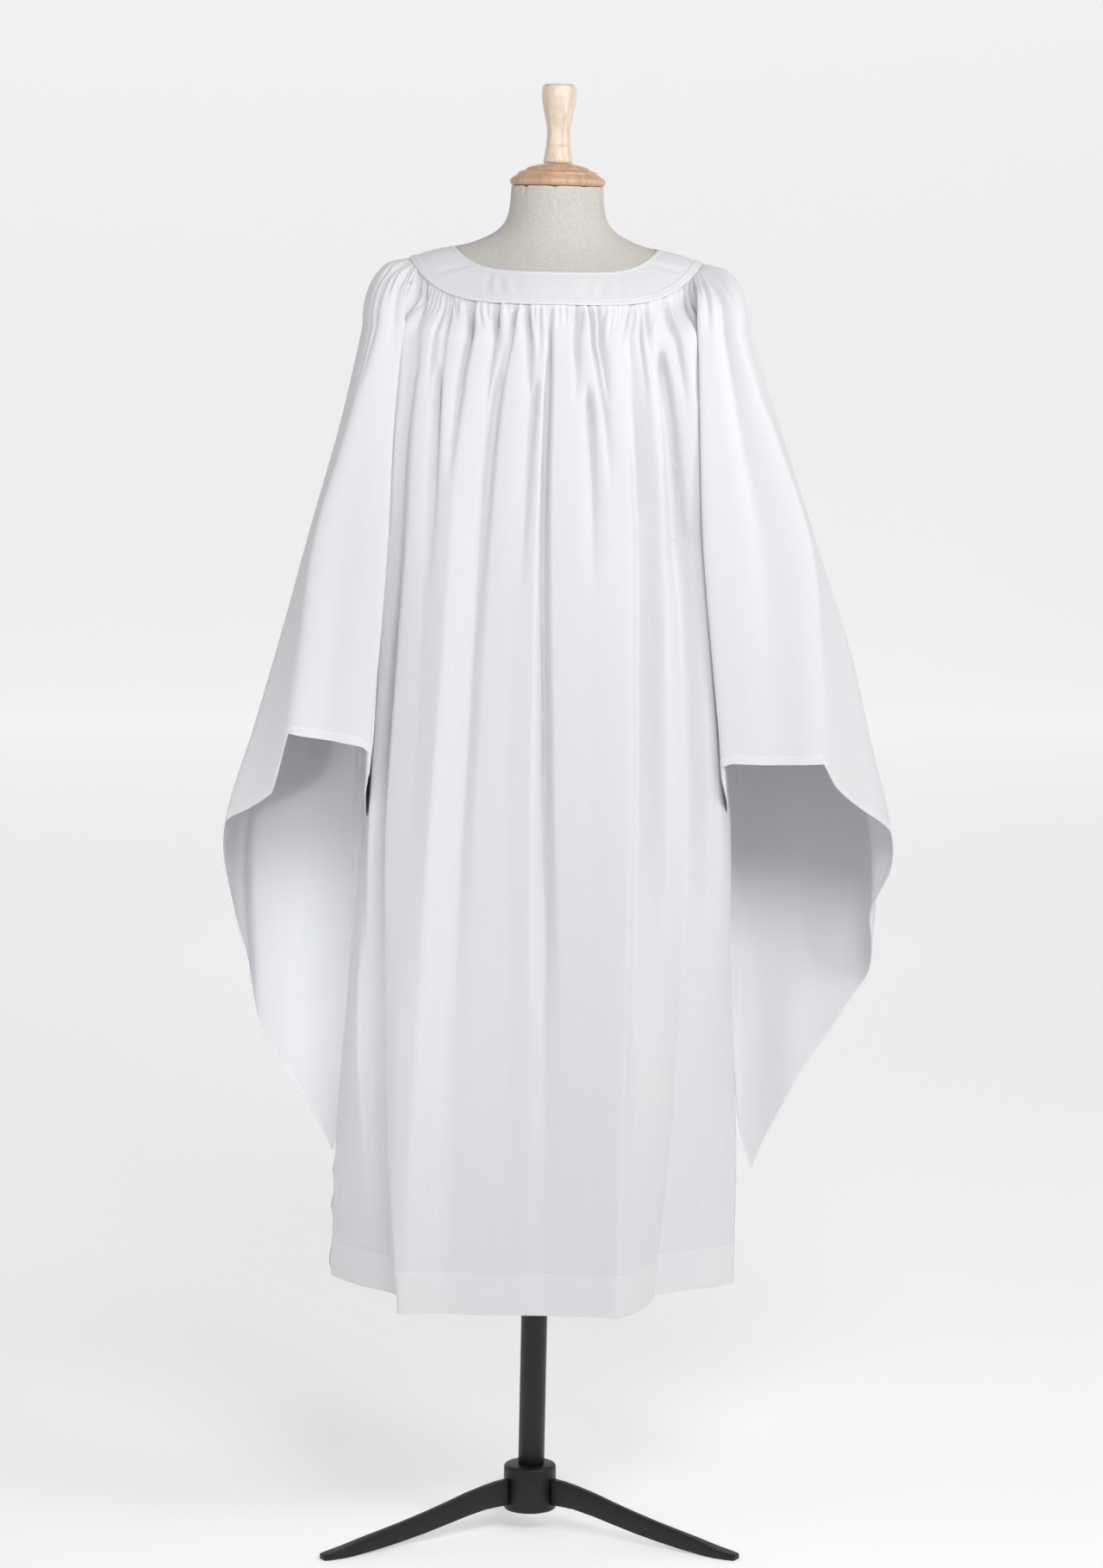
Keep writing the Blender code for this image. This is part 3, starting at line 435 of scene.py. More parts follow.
def panelGrid(share, middle, rows):
    # points of the front (middle 0) or the back (middle pi) for each row of heights
    top = ovalPoint(seamOval, middle + share * raglanTop)
    grid = []
    for kind, value in rows:
        if kind == "drop":
            height = top[:, 2] - value
        elif kind == "chest":
            end = top[:, 2] - body["gatherZone"]
            height = end + (body["armpit"] - end) * value
        else:
            height = np.full(len(share), value)
        point = bodyPoint(middle + share * raglanAngle(height), height)
        settle = ease(0.0, body["settle"], top[:, 2] - height)[:, None]
        held = np.concatenate([top[:, :2], height[:, None]], axis=1)
        grid.append(held + (point - held) * settle)
    return np.array(grid)


def panelRows(upper, chest, lower):
    # dense rows in the gathers, wider ones below, and close ones where the hem turns
    turn = body["hem"] + body["hemDepth"]
    fall = turn + body["turnRows"][0] - body["armpit"]
    rows = [("drop", body["gatherZone"] * (k / upper) ** body["rowCrowding"]) for k in range(upper)]
    rows += [("chest", k / chest) for k in range(chest)]
    rows += [("level", body["armpit"] + fall * k / lower) for k in range(lower)]
    rows += [("level", turn + step) for step in body["turnRows"]]
    rows += [("level", body["hem"] + step) for step in body["edgeRows"]]
    return rows


frontGathers = (
    # the main ones: angle from the front in degrees, start and length in metres, depth in mm,
    # drift in degrees a metre, half width in mm, and the side that is steep (-1 left, 1 right)
    (-63.0, 0.015, 0.030, 4, 0, 2.5, 0),
    (-61.0, 0.000, 0.050, 12, 150, 3.5, 1),
    (-49.5, 0.060, 0.190, 5, -65, 3.5, 1),
    (-47.0, 0.000, 0.130, 7, -25, 3.0, -1),
    (-45.5, 0.075, 0.235, 17, 10, 4.0, 1),
    (-43.0, 0.000, 0.110, 8, -20, 3.0, 1),
    (-42.5, 0.000, 0.025, 6, 75, 2.5, 0),
    (-37.0, 0.000, 0.035, 8, 120, 3.0, 0),
    (-32.0, 0.000, 0.190, 19, -80, 4.0, 1),
    (-32.0, 0.075, 0.125, 7, -70, 3.5, 0),
    (-26.5, 0.000, 0.025, 8, 5, 2.5, 0),
    (-21.5, 0.000, 0.130, 19, -85, 4.0, 1),
    (-18.0, 0.000, 0.025, 6, 0, 2.5, 0),
    (-17.0, 0.070, 0.290, 8, -100, 6.0, 1),
    (-14.0, 0.000, 0.105, 13, -135, 3.5, 1),
    (-10.0, 0.000, 0.110, 18, -5, 4.0, 1),
    (-5.5, 0.000, 0.060, 8, -20, 3.0, 0),
    (-2.0, 0.075, 0.250, 13, -85, 5.5, 1),
    (-1.0, 0.000, 0.415, 8, -20, 2.5, 1),
    (4.0, 0.000, 0.025, 8, 5, 2.5, 0),
    (8.0, 0.000, 0.110, 18, 25, 3.5, -1),
    (11.0, 0.080, 0.235, 16, 60, 4.5, 0),
    (12.5, 0.000, 0.205, 17, 115, 3.0, -1),
    (16.0, 0.000, 0.110, 17, 100, 3.0, -1),
    (22.0, 0.000, 0.045, 7, 20, 2.5, 0),
    (25.5, 0.045, 0.200, 8, 110, 4.5, 1),
    (26.0, 0.000, 0.025, 5, -20, 2.5, 0),
    (30.0, 0.000, 0.075, 19, -10, 4.0, -1),
    (34.0, 0.000, 0.120, 8, 55, 3.0, 0),
    (37.0, 0.000, 0.100, 14, 70, 3.5, 0),
    (37.5, 0.075, 0.100, 7, 60, 3.5, 0),
    (43.0, 0.000, 0.025, 5, -80, 2.5, 0),
    (43.0, 0.050, 0.270, 16, 60, 4.5, 1),
    (48.0, 0.000, 0.130, 13, 35, 4.0, 1),
    (57.5, 0.000, 0.025, 6, -150, 2.5, 0),
    (61.5, 0.000, 0.125, 10, -90, 3.0, 0),
    (63.0, 0.000, 0.060, 10, -150, 3.0, 0),
)

gather = {
    "finePitch": 2.5,  # degrees between the small ones
    "fineLeast": (0.022, 3.5, 1.7),  # length in metres, depth and half width in mm
    "fineMost": (0.045, 7.0, 2.3),
    # the back's have a least size and what strength or chance adds to it, in the same units
    "scatter": 0.34,  # share of the even spacing
    "short": (0.022, 0.05),
    "long": (0.08, 0.26, 1.4),  # the last one makes the longest ones rare
    "late": 0.010,
    "depth": (4.5, 9.0),
    "drift": 60,
    "width": (2.6, 2.6),
    "reach": 0.12,  # the folds hang straight after about this far below the seam
    "topWidth": 0.8,  # shares of the half width
    "widening": 0.5,  # for each reach further down, twice at most
    "steepSide": 0.6,
    "slackSide": 1.5,
    "seamStart": (-0.003, 0.011),  # a gather from the seam grows to its depth between these drops
    "freeStart": (0.0, 0.035),  # and one that starts below it, more softly
    "free": 0.02,
    "fade": 0.9,
    "sharpness": 1.4,
    "puff": 0.0034,  # the gathered cloth stands a little above the seam just below it
    "puffRise": (0.0, 0.010),
    "puffEnd": (0.100, 0.012),
}


def fineGathers(rows, seed):
    # small ones in the wider spaces between the main gathers
    dice = np.random.default_rng(seed)
    angles = sorted(row[0] for row in rows if row[1] == 0)
    fine = []
    for low, high in zip(angles, angles[1:]):
        count = round((high - low) / gather["finePitch"])
        for k in range(1, count):
            angle = low + (high - low) * k / count
            length, depth, width = dice.uniform(gather["fineLeast"], gather["fineMost"])
            fine.append((angle, 0.0, length, depth, angle / 2, width, 0))
    return fine


backGathers = {
    "first": 116,
    "last": 244,
    "count": 36,
    "seed": 11,
}


def similarGathers(first, last, count, seed):
    # the same kinds of gathers for a side that needs no exact places
    s = gather
    dice = np.random.default_rng(seed)
    pitch = (last - first) / count
    rows = []
    for k in range(count):
        strong = dice.random()
        angle = first + (k + 0.5 + s["scatter"] * (dice.random() - 0.5)) * pitch
        if strong < 0.5:
            length = s["short"][0] + s["short"][1] * strong
        else:
            length = s["long"][0] + s["long"][1] * dice.random() ** s["long"][2]
        start = s["late"] * dice.random() * (strong > 0.7)
        rows.append((angle, start, length, s["depth"][0] + s["depth"][1] * strong,
                     s["drift"] * (dice.random() - 0.5), s["width"][0] + s["width"][1] * strong,
                     int(dice.integers(-1, 2))))
    return rows


def gatherWave(rows, degrees, grid):
    # degrees has one row of angles for each row of the grid
    # each gather is a narrow trough that starts at the seam, widens as it falls and fades out
    steps = np.linalg.norm(np.diff(grid, axis=1), axis=-1)
    across = np.concatenate([np.zeros((len(grid), 1)), np.cumsum(steps, axis=1)], axis=1)
    wave = np.zeros(across.shape)
    for angle, start, length, depth, drift, width, steep in rows:
        for r in range(len(grid)):
            drop = grid[0, :, 2] - grid[r, :, 2]
            fall = np.interp(angle, degrees[r], drop)
            below = fall - start
            if below < gather["seamStart"][0] or below > length:
                continue
            centre = angle + drift * gather["reach"] * (1 - math.exp(-fall / gather["reach"]))
            away = across[r] - np.interp(centre, degrees[r], across[r])
            wider = gather["widening"] * min(max(below / gather["reach"], 0), 2)
            wide = width / 1000 * (gather["topWidth"] + wider)
            slack = 1.0 if steep == 0 else gather["slackSide"]
            wide = wide * np.where(away * steep > 0, gather["steepSide"], slack)
            fade = float(ease(*gather["freeStart" if start > gather["free"] else "seamStart"], below))
            fade *= (1 - max(below, 0) / length) ** gather["fade"]
            wave[r] -= depth / 1000 * fade * np.exp(-np.abs(away / wide) ** gather["sharpness"])
    return wave


def puffOut(drop):
    return gather["puff"] * ease(*gather["puffRise"], drop) * ease(*gather["puffEnd"], drop)


def gridNormals(grid, turn):
    return unitLength(np.cross(np.gradient(grid, axis=0), np.gradient(grid, axis=1))) * turn


def wallPiece(name, outer, inner, uvs, doubled, closed, material):
    # a closed thin wall between two skins of points, each a grid of rows and columns
    rowCount, columnCount = outer.shape[:2]
    numbers = np.arange(2 * rowCount * columnCount).reshape(2, rowCount, columnCount)
    if closed:
        numbers = np.concatenate([numbers, numbers[..., :1]], axis=2)
    outerRows, innerRows = numbers.tolist()
    faces = []

    def joinRows(upper, lower, flip):
        made = [(upper[k], lower[k], lower[k + 1], upper[k + 1]) for k in range(len(upper) - 1)]
        faces.extend(face[::-1] if flip else face for face in made)

    for r in range(rowCount - 1):
        joinRows(outerRows[r], outerRows[r + 1], False)
        joinRows(innerRows[r], innerRows[r + 1], True)
    joinRows(innerRows[0], outerRows[0], False)
    joinRows(outerRows[-1], innerRows[-1], False)
    if not closed:
        joinRows([row[0] for row in outerRows], [row[0] for row in innerRows], True)
        joinRows([row[-1] for row in outerRows], [row[-1] for row in innerRows], False)
    mesh = bpy.data.meshes.new(name)
    mesh.from_pydata(np.concatenate([outer, inner]).reshape(-1, 3).tolist(), [], faces)
    shell = bmesh.new()
    shell.from_mesh(mesh)
    bmesh.ops.recalc_face_normals(shell, faces=shell.faces)
    shell.to_mesh(mesh)
    shell.free()
    layer = mesh.uv_layers.new(name="UVMap")
    corners = np.empty(len(mesh.loops), int)
    mesh.loops.foreach_get("vertex_index", corners)
    flat = np.tile(uvs.reshape(-1, 2), (2, 1))
    layer.data.foreach_set("uv", flat[corners].astype(np.float32).ravel())
    layers = np.tile(np.repeat(doubled, columnCount), 2).astype(np.float32)
    mesh.attributes.new("doubled", "FLOAT", "POINT").data.foreach_set("value", layers)
    return addPiece(name, mesh, material)


def flatPlaces(grid):
    # where each point lies on the flat cloth, across the panel at its widest and down it
    width = np.linalg.norm(np.diff(grid, axis=1), axis=-1).sum(axis=1).max()
    steps = np.linalg.norm(np.diff(grid, axis=0), axis=-1)
    down = np.concatenate([np.zeros((1, grid.shape[1])), np.cumsum(steps, axis=0)])
    down = down.mean(axis=1, keepdims=True) + 0 * down
    across = np.linspace(0.0, width, grid.shape[1])[None, :] + 0 * down
    return np.stack([across, -down], axis=-1)


seamHold = 0.030  # the cloth turns from the seam's direction to its own over this drop


class ClothPanel:
    # a panel's middle surface, its outward direction, and its wave
    def __init__(self, grid, turn, angles, hemRow):
        self.grid = grid
        self.angles = angles
        self.hemRow = hemRow
        self.drop = grid[0, :, 2] - grid[:, :, 2]
        self.out = gridNormals(grid, turn)
        held = ease(seamHold, 0.0, self.drop)[..., None]
        self.out = unitLength(self.out * (1 - held) + seamNormal(angles)[None] * held)
        self.wave = np.zeros(grid.shape[:2])
        self.extra = np.zeros(grid.shape[:2])
        self.doubled = np.zeros(len(grid))

    def skins(self):
        half = body["halfThickness"]
        outer = self.grid + self.out * (half + self.wave + self.extra)[..., None]
        inner = self.grid + self.out * (self.wave - half - self.extra)[..., None]
        return leaned(outer), leaned(inner)


def seamLevel(panel, rows, column, other, otherColumn):
    # two panels share one line and one direction where they are sewn together
    line = (panel.grid[rows, column] + other.grid[rows, otherColumn]) / 2
    out = unitLength(panel.out[rows, column] + other.out[rows, otherColumn])
    for one, c in ((panel, column), (other, otherColumn)):
        one.grid[rows, c] = line
        one.out[rows, c] = out


# a sleeve's x is measured outward from the form's middle
sleeveKnots = (0.0, 0.05, 0.10, 0.17, 0.33, 0.38, 0.52, 0.60, 0.70, 0.8333, 0.94, 1.0)
sleeves = {
    "sleeveLeft": {
        "side": -1,
        "sections": (
            # height, then x of the front lap, the inner seam, the ridge and the outside,
            # then y of the front, the outside, the back and the inner seam
            (0.410, 0.196, 0.212, 0.292, 0.352, -0.130, -0.020, 0.106, 0.060),
            (0.600, 0.197, 0.206, 0.292, 0.356, -0.130, -0.025, 0.104, 0.050),
            (0.820, 0.194, 0.202, 0.292, 0.360, -0.134, -0.030, 0.102, 0.035),
            (0.930, 0.193, 0.200, 0.285, 0.328, -0.135, -0.038, 0.100, 0.025),
            (1.030, 0.185, 0.194, 0.273, 0.300, -0.134, -0.045, 0.100, 0.015),
            (1.150, 0.178, 0.166, 0.259, 0.268, -0.130, -0.050, 0.097, 0.000),
            (1.270, 0.174, 0.160, 0.228, 0.236, -0.123, -0.030, 0.090, 0.000),
            (1.380, 0.166, 0.156, 0.203, 0.213, -0.104, -0.008, 0.080, 0.000),
        ),
        "hem": (
            # place round the sleeve from the front seam, height
            (0.00, 0.800), (0.05, 0.860), (0.10, 0.908), (0.14, 0.917), (0.22, 0.923), (0.33, 0.930),
            (0.38, 0.862), (0.45, 0.838), (0.52, 0.818), (0.60, 0.725), (0.66, 0.640),
            (0.72, 0.550), (0.78, 0.472), (0.8333, 0.414), (0.89, 0.500), (0.94, 0.640), (1.00, 0.800),
        ),
        "folds": (
            # place, width, depth
            (0.24, 0.04, -0.006), (0.45, 0.04, -0.005), (0.66, 0.03, -0.008), (0.76, 0.03, 0.008),
            (0.90, 0.03, -0.006),
        ),
        "gathers": (
            # yoke angle in degrees, start and length in metres, depth in mm,
            # drift in degrees a metre, half width in mm, steep side
            (67.8, 0.000, 0.050, 7.5, 0, 2.6, 0),
            (70.2, 0.000, 0.060, 10.2, 10, 3.5, 1),
            (72.6, 0.000, 0.040, 6.2, 0, 2.6, 0),
            (74.8, 0.000, 0.090, 10.2, 10, 4.1, 1),
            (77.4, 0.000, 0.050, 6.2, 0, 2.9, 0),
            (79.8, 0.000, 0.140, 10.2, 8, 4.6, 0),
            (82.6, 0.004, 0.330, 5.0, 4, 7.0, 1),
            (85.4, 0.000, 0.050, 6.2, 0, 2.9, 0),
            (88.2, 0.000, 0.180, 10.2, -6, 4.9, 0),
            (91.0, 0.000, 0.050, 6.2, 0, 2.9, 0),
            (93.6, 0.004, 0.220, 10.2, 0, 5.8, -1),
            (96.4, 0.000, 0.060, 6.9, 0, 2.9, 0),
            (99.2, 0.000, 0.160, 10.2, 0, 4.9, 0),
            (102.2, 0.000, 0.050, 6.2, 0, 2.9, 0),
            (105.0, 0.000, 0.240, 10.9, 0, 5.8, 1),
            (107.8, 0.000, 0.050, 6.2, 0, 2.9, 0),
            (110.4, 0.000, 0.110, 7.5, 0, 3.4, 0),
            (112.6, 0.000, 0.040, 5.6, 0, 2.6, 0),
        ),
    },
    "sleeveRight": {
        "side": 1,
        "sections": (
            (0.410, 0.205, 0.216, 0.305, 0.388, -0.132, -0.020, 0.108, 0.060),
            (0.600, 0.205, 0.209, 0.305, 0.390, -0.132, -0.025, 0.106, 0.050),
            (0.820, 0.199, 0.204, 0.305, 0.392, -0.142, -0.030, 0.102, 0.035),
            (0.930, 0.191, 0.200, 0.306, 0.364, -0.146, -0.036, 0.100, 0.025),
            (1.030, 0.180, 0.193, 0.299, 0.338, -0.146, -0.045, 0.100, 0.015),
            (1.150, 0.168, 0.166, 0.286, 0.296, -0.140, -0.050, 0.097, 0.000),
            (1.270, 0.162, 0.160, 0.245, 0.255, -0.126, -0.030, 0.090, 0.000),
            (1.380, 0.158, 0.156, 0.208, 0.219, -0.106, -0.008, 0.080, 0.000),
        ),
        "hem": (
            (0.00, 0.800), (0.05, 0.860), (0.10, 0.902), (0.14, 0.908), (0.22, 0.907), (0.33, 0.909),
            (0.38, 0.882), (0.45, 0.851), (0.52, 0.820), (0.60, 0.722), (0.66, 0.655),
            (0.70, 0.615), (0.76, 0.530), (0.8333, 0.402), (0.89, 0.480), (0.94, 0.630), (1.00, 0.800),
        ),
        "folds": (
            (0.24, 0.04, -0.006), (0.45, 0.04, -0.005), (0.60, 0.03, -0.014), (0.68, 0.03, 0.012),
            (0.78, 0.03, -0.008), (0.90, 0.03, -0.006),
        ),
        "gathers": (
            (67.6, 0.000, 0.050, 7.5, 0, 2.6, 0),
            (69.8, 0.000, 0.070, 10.2, 0, 3.5, -1),
            (72.0, 0.000, 0.040, 6.2, 0, 2.6, 0),
            (74.2, 0.000, 0.070, 10.9, 0, 3.8, 0),
            (77.0, 0.000, 0.420, 12.3, 0, 8.0, -1),
            (79.6, 0.000, 0.045, 6.2, 0, 2.6, 0),
            (82.0, 0.000, 0.170, 13.0, 0, 4.9, -1),
            (84.6, 0.000, 0.050, 6.2, 0, 2.9, 0),
            (87.4, 0.000, 0.200, 10.2, 6, 5.2, 0),
            (90.2, 0.000, 0.060, 6.9, 0, 2.9, 0),
            (93.0, 0.004, 0.150, 10.2, 0, 4.9, 1),
            (95.8, 0.000, 0.050, 6.2, 0, 2.9, 0),
            (98.6, 0.000, 0.260, 10.9, 0, 6.1, 0),
            (101.6, 0.000, 0.050, 6.2, 0, 2.9, 0),
            (104.4, 0.000, 0.130, 9.4, 0, 4.3, 0),
            (107.2, 0.000, 0.060, 6.2, 0, 2.9, 0),
            (110.0, 0.000, 0.200, 10.2, 0, 5.2, -1),
            (112.4, 0.000, 0.040, 5.6, 0, 2.6, 0),
        ),
    },
}
capLevel = 1.38
sleeveHem = {
    "depth": 0.009,
    "rows": (0.004, 0.0015, 0.0, -0.0015, -0.004, -0.0065, -0.0083, -0.009),  # from the top of the hem
}
sleeveFoldsWhole = 0.95  # height from which down the sleeve's folds have their whole depth
edgeShare = 0.10  # near its seams the sleeve follows the panels' rows, so that the seams close


def sleeveStation(sleeve, height):
    # the points that a sleeve's section passes through at a height
    columns = list(zip(*sleeve["sections"]))
    sizes = (through(columns[0], column, height) for column in columns[1:])
    lap, inner, ridge, outer, front, outerY, back, seamY = sizes
    frontSeam = bodyPoint(raglanAngle(height), height)
    backSeam = bodyPoint(math.pi - raglanAngle(height), height)
    above = height >= body["armpit"]
    xFront = np.where(above, frontSeam[..., 0], inner)
    yFront = np.where(above, frontSeam[..., 1], seamY)
    xBack = np.where(above, backSeam[..., 0], inner)
    yBack = np.where(above, backSeam[..., 1], seamY)
    stations = (
        (xFront, yFront),
        (lap + 0.0055, front * 0.86),
        (lap, front * 0.97),
        (lap + (ridge - lap) * 0.22, front),
        (ridge, front * 0.94),
        (ridge + (outer - ridge) * 0.22, front * 0.78 + outerY * 0.22),
        (outer, outerY),
        (outer - 0.008, outerY * 0.5 + back * 0.38),
        (outer * 0.83 + inner * 0.17, back * 0.88),
        (outer * 0.20 + inner * 0.80, back),
        (inner + 0.006, back * 0.72 + yBack * 0.28),
        (xBack, yBack),
    )
    return np.array([s[0] for s in stations]), np.array([s[1] for s in stations])


def sleeveSection(sleeve, place, height):
    height = np.asarray(height, float)
    xKnots, yKnots = sleeveStation(sleeve, height)
    x = through(sleeveKnots, xKnots, place)
    y = through(sleeveKnots, yKnots, place)
    fall = ease(capLevel, sleeveFoldsWhole, height)
    middle = 0.5 * (xKnots[0] + xKnots[6])
    outward = unitLength(np.stack([x - middle, y], axis=-1))
    for spot, width, depth in sleeve["folds"]:
        push = depth * fall * np.exp(-(((place - spot) / width) ** 2))
        x = x + outward[:, 0] * push
        y = y + outward[:, 1] * push
    return np.stack([sleeve["side"] * x, y, height], axis=-1)


def sleeveGrid(sleeve, place, capRows, chestRows, lowerRows):
    side = sleeve["side"]
    angle = side * (raglanTop + (math.pi - 2 * raglanTop) * place)
    top = ovalPoint(seamOval, angle)
    edge = np.maximum(ease(edgeShare, 0.0, place), ease(1 - edgeShare, 1.0, place))
    grid = []
    for k in range(capRows):
        part = (k / capRows) ** body["rowCrowding"]
        turn = part * math.pi / 2
        drop = part * body["gatherZone"]
        capHeight = top[:, 2] + (capLevel - top[:, 2]) * (1 - math.cos(turn))
        height = capHeight + (top[:, 2] - drop - capHeight) * edge
        capRing = sleeveSection(sleeve, place, np.full(len(place), capLevel))
        ownRing = sleeveSection(sleeve, place, height)
        curved = top[:, :2] + (capRing[:, :2] - top[:, :2]) * math.sin(turn)
        held = top[:, :2] + (ownRing[:, :2] - top[:, :2]) * ease(0.0, body["settle"], drop)
        flat = curved + (held - curved) * edge[:, None]
        grid.append(np.concatenate([flat, height[:, None]], axis=1))
    capEnd = capLevel + (top[:, 2] - body["gatherZone"] - capLevel) * edge
    for k in range(chestRows):
        grid.append(sleeveSection(sleeve, place, capEnd + (body["armpit"] - capEnd) * k / chestRows))
    spots, levels = zip(*sleeve["hem"])
    hem = np.interp(place, spots, levels)
    turnLine = hem + sleeveHem["depth"] + sleeveHem["rows"][0]
    for k in range(lowerRows):
        height = body["armpit"] + (turnLine - body["armpit"]) * k / lowerRows
        grid.append(sleeveSection(sleeve, place, height))
    for step in sleeveHem["rows"]:
        grid.append(sleeveSection(sleeve, place, hem + sleeveHem["depth"] + step))
    return np.array(grid), angle


# columns and rows of points in the panels
panelSettings = {
    "columns": 300,
    "upper": 46,
    "chest": 40,
    "lower": 58,
    "sleeveColumns": 176,
    "sleeveLower": 84,
    "seamFade": 0.05,  # share of the width over which the waves die out beside the seams
}


def hemThickness(panel):
    # the turned hem is three layers thick, with a dimple along its stitches
    panel.extra[panel.hemRow:] += body["hemExtra"]
    panel.extra[panel.hemRow] -= body["hemExtra"] * body["hemDimple"]
    panel.doubled[panel.hemRow:] = body["hemDoubled"]
    panel.doubled[panel.hemRow] = body["stitchDoubled"]


def makeBodyPanels():
    s = panelSettings
    share = np.linspace(-1.0, 1.0, s["columns"] + 1)
    rows = panelRows(s["upper"], s["chest"], s["lower"])
    hemRow = s["upper"] + s["chest"] + s["lower"] + body["turnRows"].index(0.0)
    made = []
    for middle in (0.0, math.pi):
        made.append(ClothPanel(panelGrid(share, middle, rows), 1, middle + share * raglanTop, hemRow))
    return made


def makeSleevePanels():
    s = panelSettings
    place = np.linspace(0.0, 1.0, s["sleeveColumns"] + 1)
    made = {}
    for name, sleeve in sleeves.items():
        grid, angle = sleeveGrid(sleeve, place, s["upper"], s["chest"], s["sleeveLower"])
        hemRow = len(grid) - len(sleeveHem["rows"]) + sleeveHem["rows"].index(0.0)
        made[name] = ClothPanel(grid, sleeve["side"], angle, hemRow)
    return made


def waveOfPanel(panel, gathers, degrees):
    up = np.argsort(degrees[0])
    panel.wave[:, up] += gatherWave(gathers, degrees[:, up], panel.grid[:, up]) + puffOut(panel.drop[:, up])


def fadeAtSeams(panel, fromSeam):
    panel.wave *= ease(0.0, panelSettings["seamFade"], fromSeam)[None, :]


frontPanel, backPanel = makeBodyPanels()
sleevePanels = makeSleevePanels()
frontRows = (*frontGathers, *fineGathers(frontGathers, 4))
backRows = similarGathers(**backGathers)
for panel, gathers, middle in ((frontPanel, frontRows, 0.0), (backPanel, backRows, 180.0)):
    share = np.linspace(-1.0, 1.0, panel.grid.shape[1])[None, :]
    waveOfPanel(panel, gathers, middle + share * np.degrees(raglanAngle(panel.grid[:, :, 2])))
for name, sleeve in sleeves.items():
    panel = sleevePanels[name]
    waveOfPanel(panel, sleeve["gathers"], np.abs(np.degrees(panel.angles))[None, :] + 0 * panel.drop)

armpitRow = panelSettings["upper"] + panelSettings["chest"]
above = slice(0, armpitRow)
below = slice(armpitRow, None)
left, right = sleevePanels["sleeveLeft"], sleevePanels["sleeveRight"]
seamLevel(frontPanel, above, 0, left, 0)
seamLevel(frontPanel, above, -1, right, 0)
seamLevel(backPanel, above, -1, left, -1)
seamLevel(backPanel, above, 0, right, -1)
seamLevel(frontPanel, below, 0, backPanel, -1)
seamLevel(frontPanel, below, -1, backPanel, 0)
seamLevel(left, below, 0, left, -1)
seamLevel(right, below, 0, right, -1)

for panel in (frontPanel, backPanel):
    fadeAtSeams(panel, 1 - np.abs(np.linspace(-1, 1, panel.grid.shape[1])))
for panel in sleevePanels.values():
    place = np.linspace(0, 1, panel.grid.shape[1])
    fadeAtSeams(panel, np.minimum(place, 1 - place))

clothPanels = {"surpliceFront": frontPanel, "surpliceBack": backPanel, **sleevePanels}
pieces = {}
for name, panel in clothPanels.items():
    hemThickness(panel)
    pieces[name] = wallPiece(name, *panel.skins(), flatPlaces(panel.grid), panel.doubled, False, cotton)
print("front, back and sleeves made")


yoke = {
    "columns": 360,
    "evenRows": 22,
    "evenEnd": 0.80,  # share of the width from the neck, where the closer rows of the lapped edge begin
    "edgeRows": (0.82, 0.836, 0.842, 0.846, 0.85, 0.86, 0.88, 0.91, 0.94, 0.965, 0.985, 0.995, 1.0, 1.008),
    "halfThickness": 0.0006,
    "crown": 0.002,
    "lap": 0.0009,
    "lapStart": (0.838, 0.852),
    "lapEnd": (0.985, 1.008),
    "lapTurn": 0.0005,  # the lapped edge comes down so far at its end
    "neckEdge": 0.0005,
    "neckTurn": ((0.10, 0.06), (-0.02, 0.02)),
    "ripple": 0.00025,
    "ripples": 96,
    "rippleStart": (0.80, 0.90),
    "bendFrom": 0.6,  # from here the yoke bends over to the cloth's direction at the seam
    "innerRise": 0.4,  # the inner side follows so much of the outer side's relief
    "innerThinner": 0.0001,
    "flat": (0.93, 0.053),
}
# a drag crease is a trough with a soft rise beside it
creaseShape = {"start": (-0.18, 0.1), "end": (0.02, -0.18), "rise": 0.6, "riseAside": 2.2}
dragCreases = (
    # yoke angle at the neck and at the seam, shares where it starts and ends, width in degrees, depth in mm
    (-52, -64, 0.20, 0.80, 2.2, -0.9),
    (-38, -27, 0.25, 0.84, 2.0, -1.0),
    (-33, -20, 0.30, 0.84, 2.2, -1.2),
    (-25, -13, 0.45, 0.84, 2.0, -0.8),
    (8, -2, 0.50, 0.84, 1.8, -0.6),
    (20, 10, 0.30, 0.84, 2.0, -1.0),
    (27, 16, 0.30, 0.84, 2.2, -1.2),
    (36, 26, 0.25, 0.84, 2.2, -1.1),
    (47, 36, 0.35, 0.84, 2.0, -0.9),
    (60, 68, 0.20, 0.80, 2.4, -0.9),
    (130, 118, 0.30, 0.84, 2.2, -1.0),
    (150, 160, 0.30, 0.84, 2.2, -0.9),
    (178, 186, 0.40, 0.84, 2.0, -0.7),
    (205, 196, 0.30, 0.84, 2.2, -1.0),
    (232, 244, 0.30, 0.84, 2.2, -0.9),
)


def yokePoint(angle, share):
    neck = ovalPoint(neckOval, angle)
    seam = ovalPoint(seamOval, angle)
    point = neck + (seam - neck) * share
    point[..., 2] += yoke["crown"] * math.sin(math.pi * share)
    return point


def yokeNormal(angle, share):
    around = yokePoint(angle + 0.01, share) - yokePoint(angle - 0.01, share)
    across = yokePoint(angle, share + 0.01) - yokePoint(angle, share - 0.01)
    normal = unitLength(np.cross(across, around))
    blend = max(0.0, (share - yoke["bendFrom"]) / (1 - yoke["bendFrom"]))
    return unitLength(normal + (seamNormal(angle) - normal) * blend)


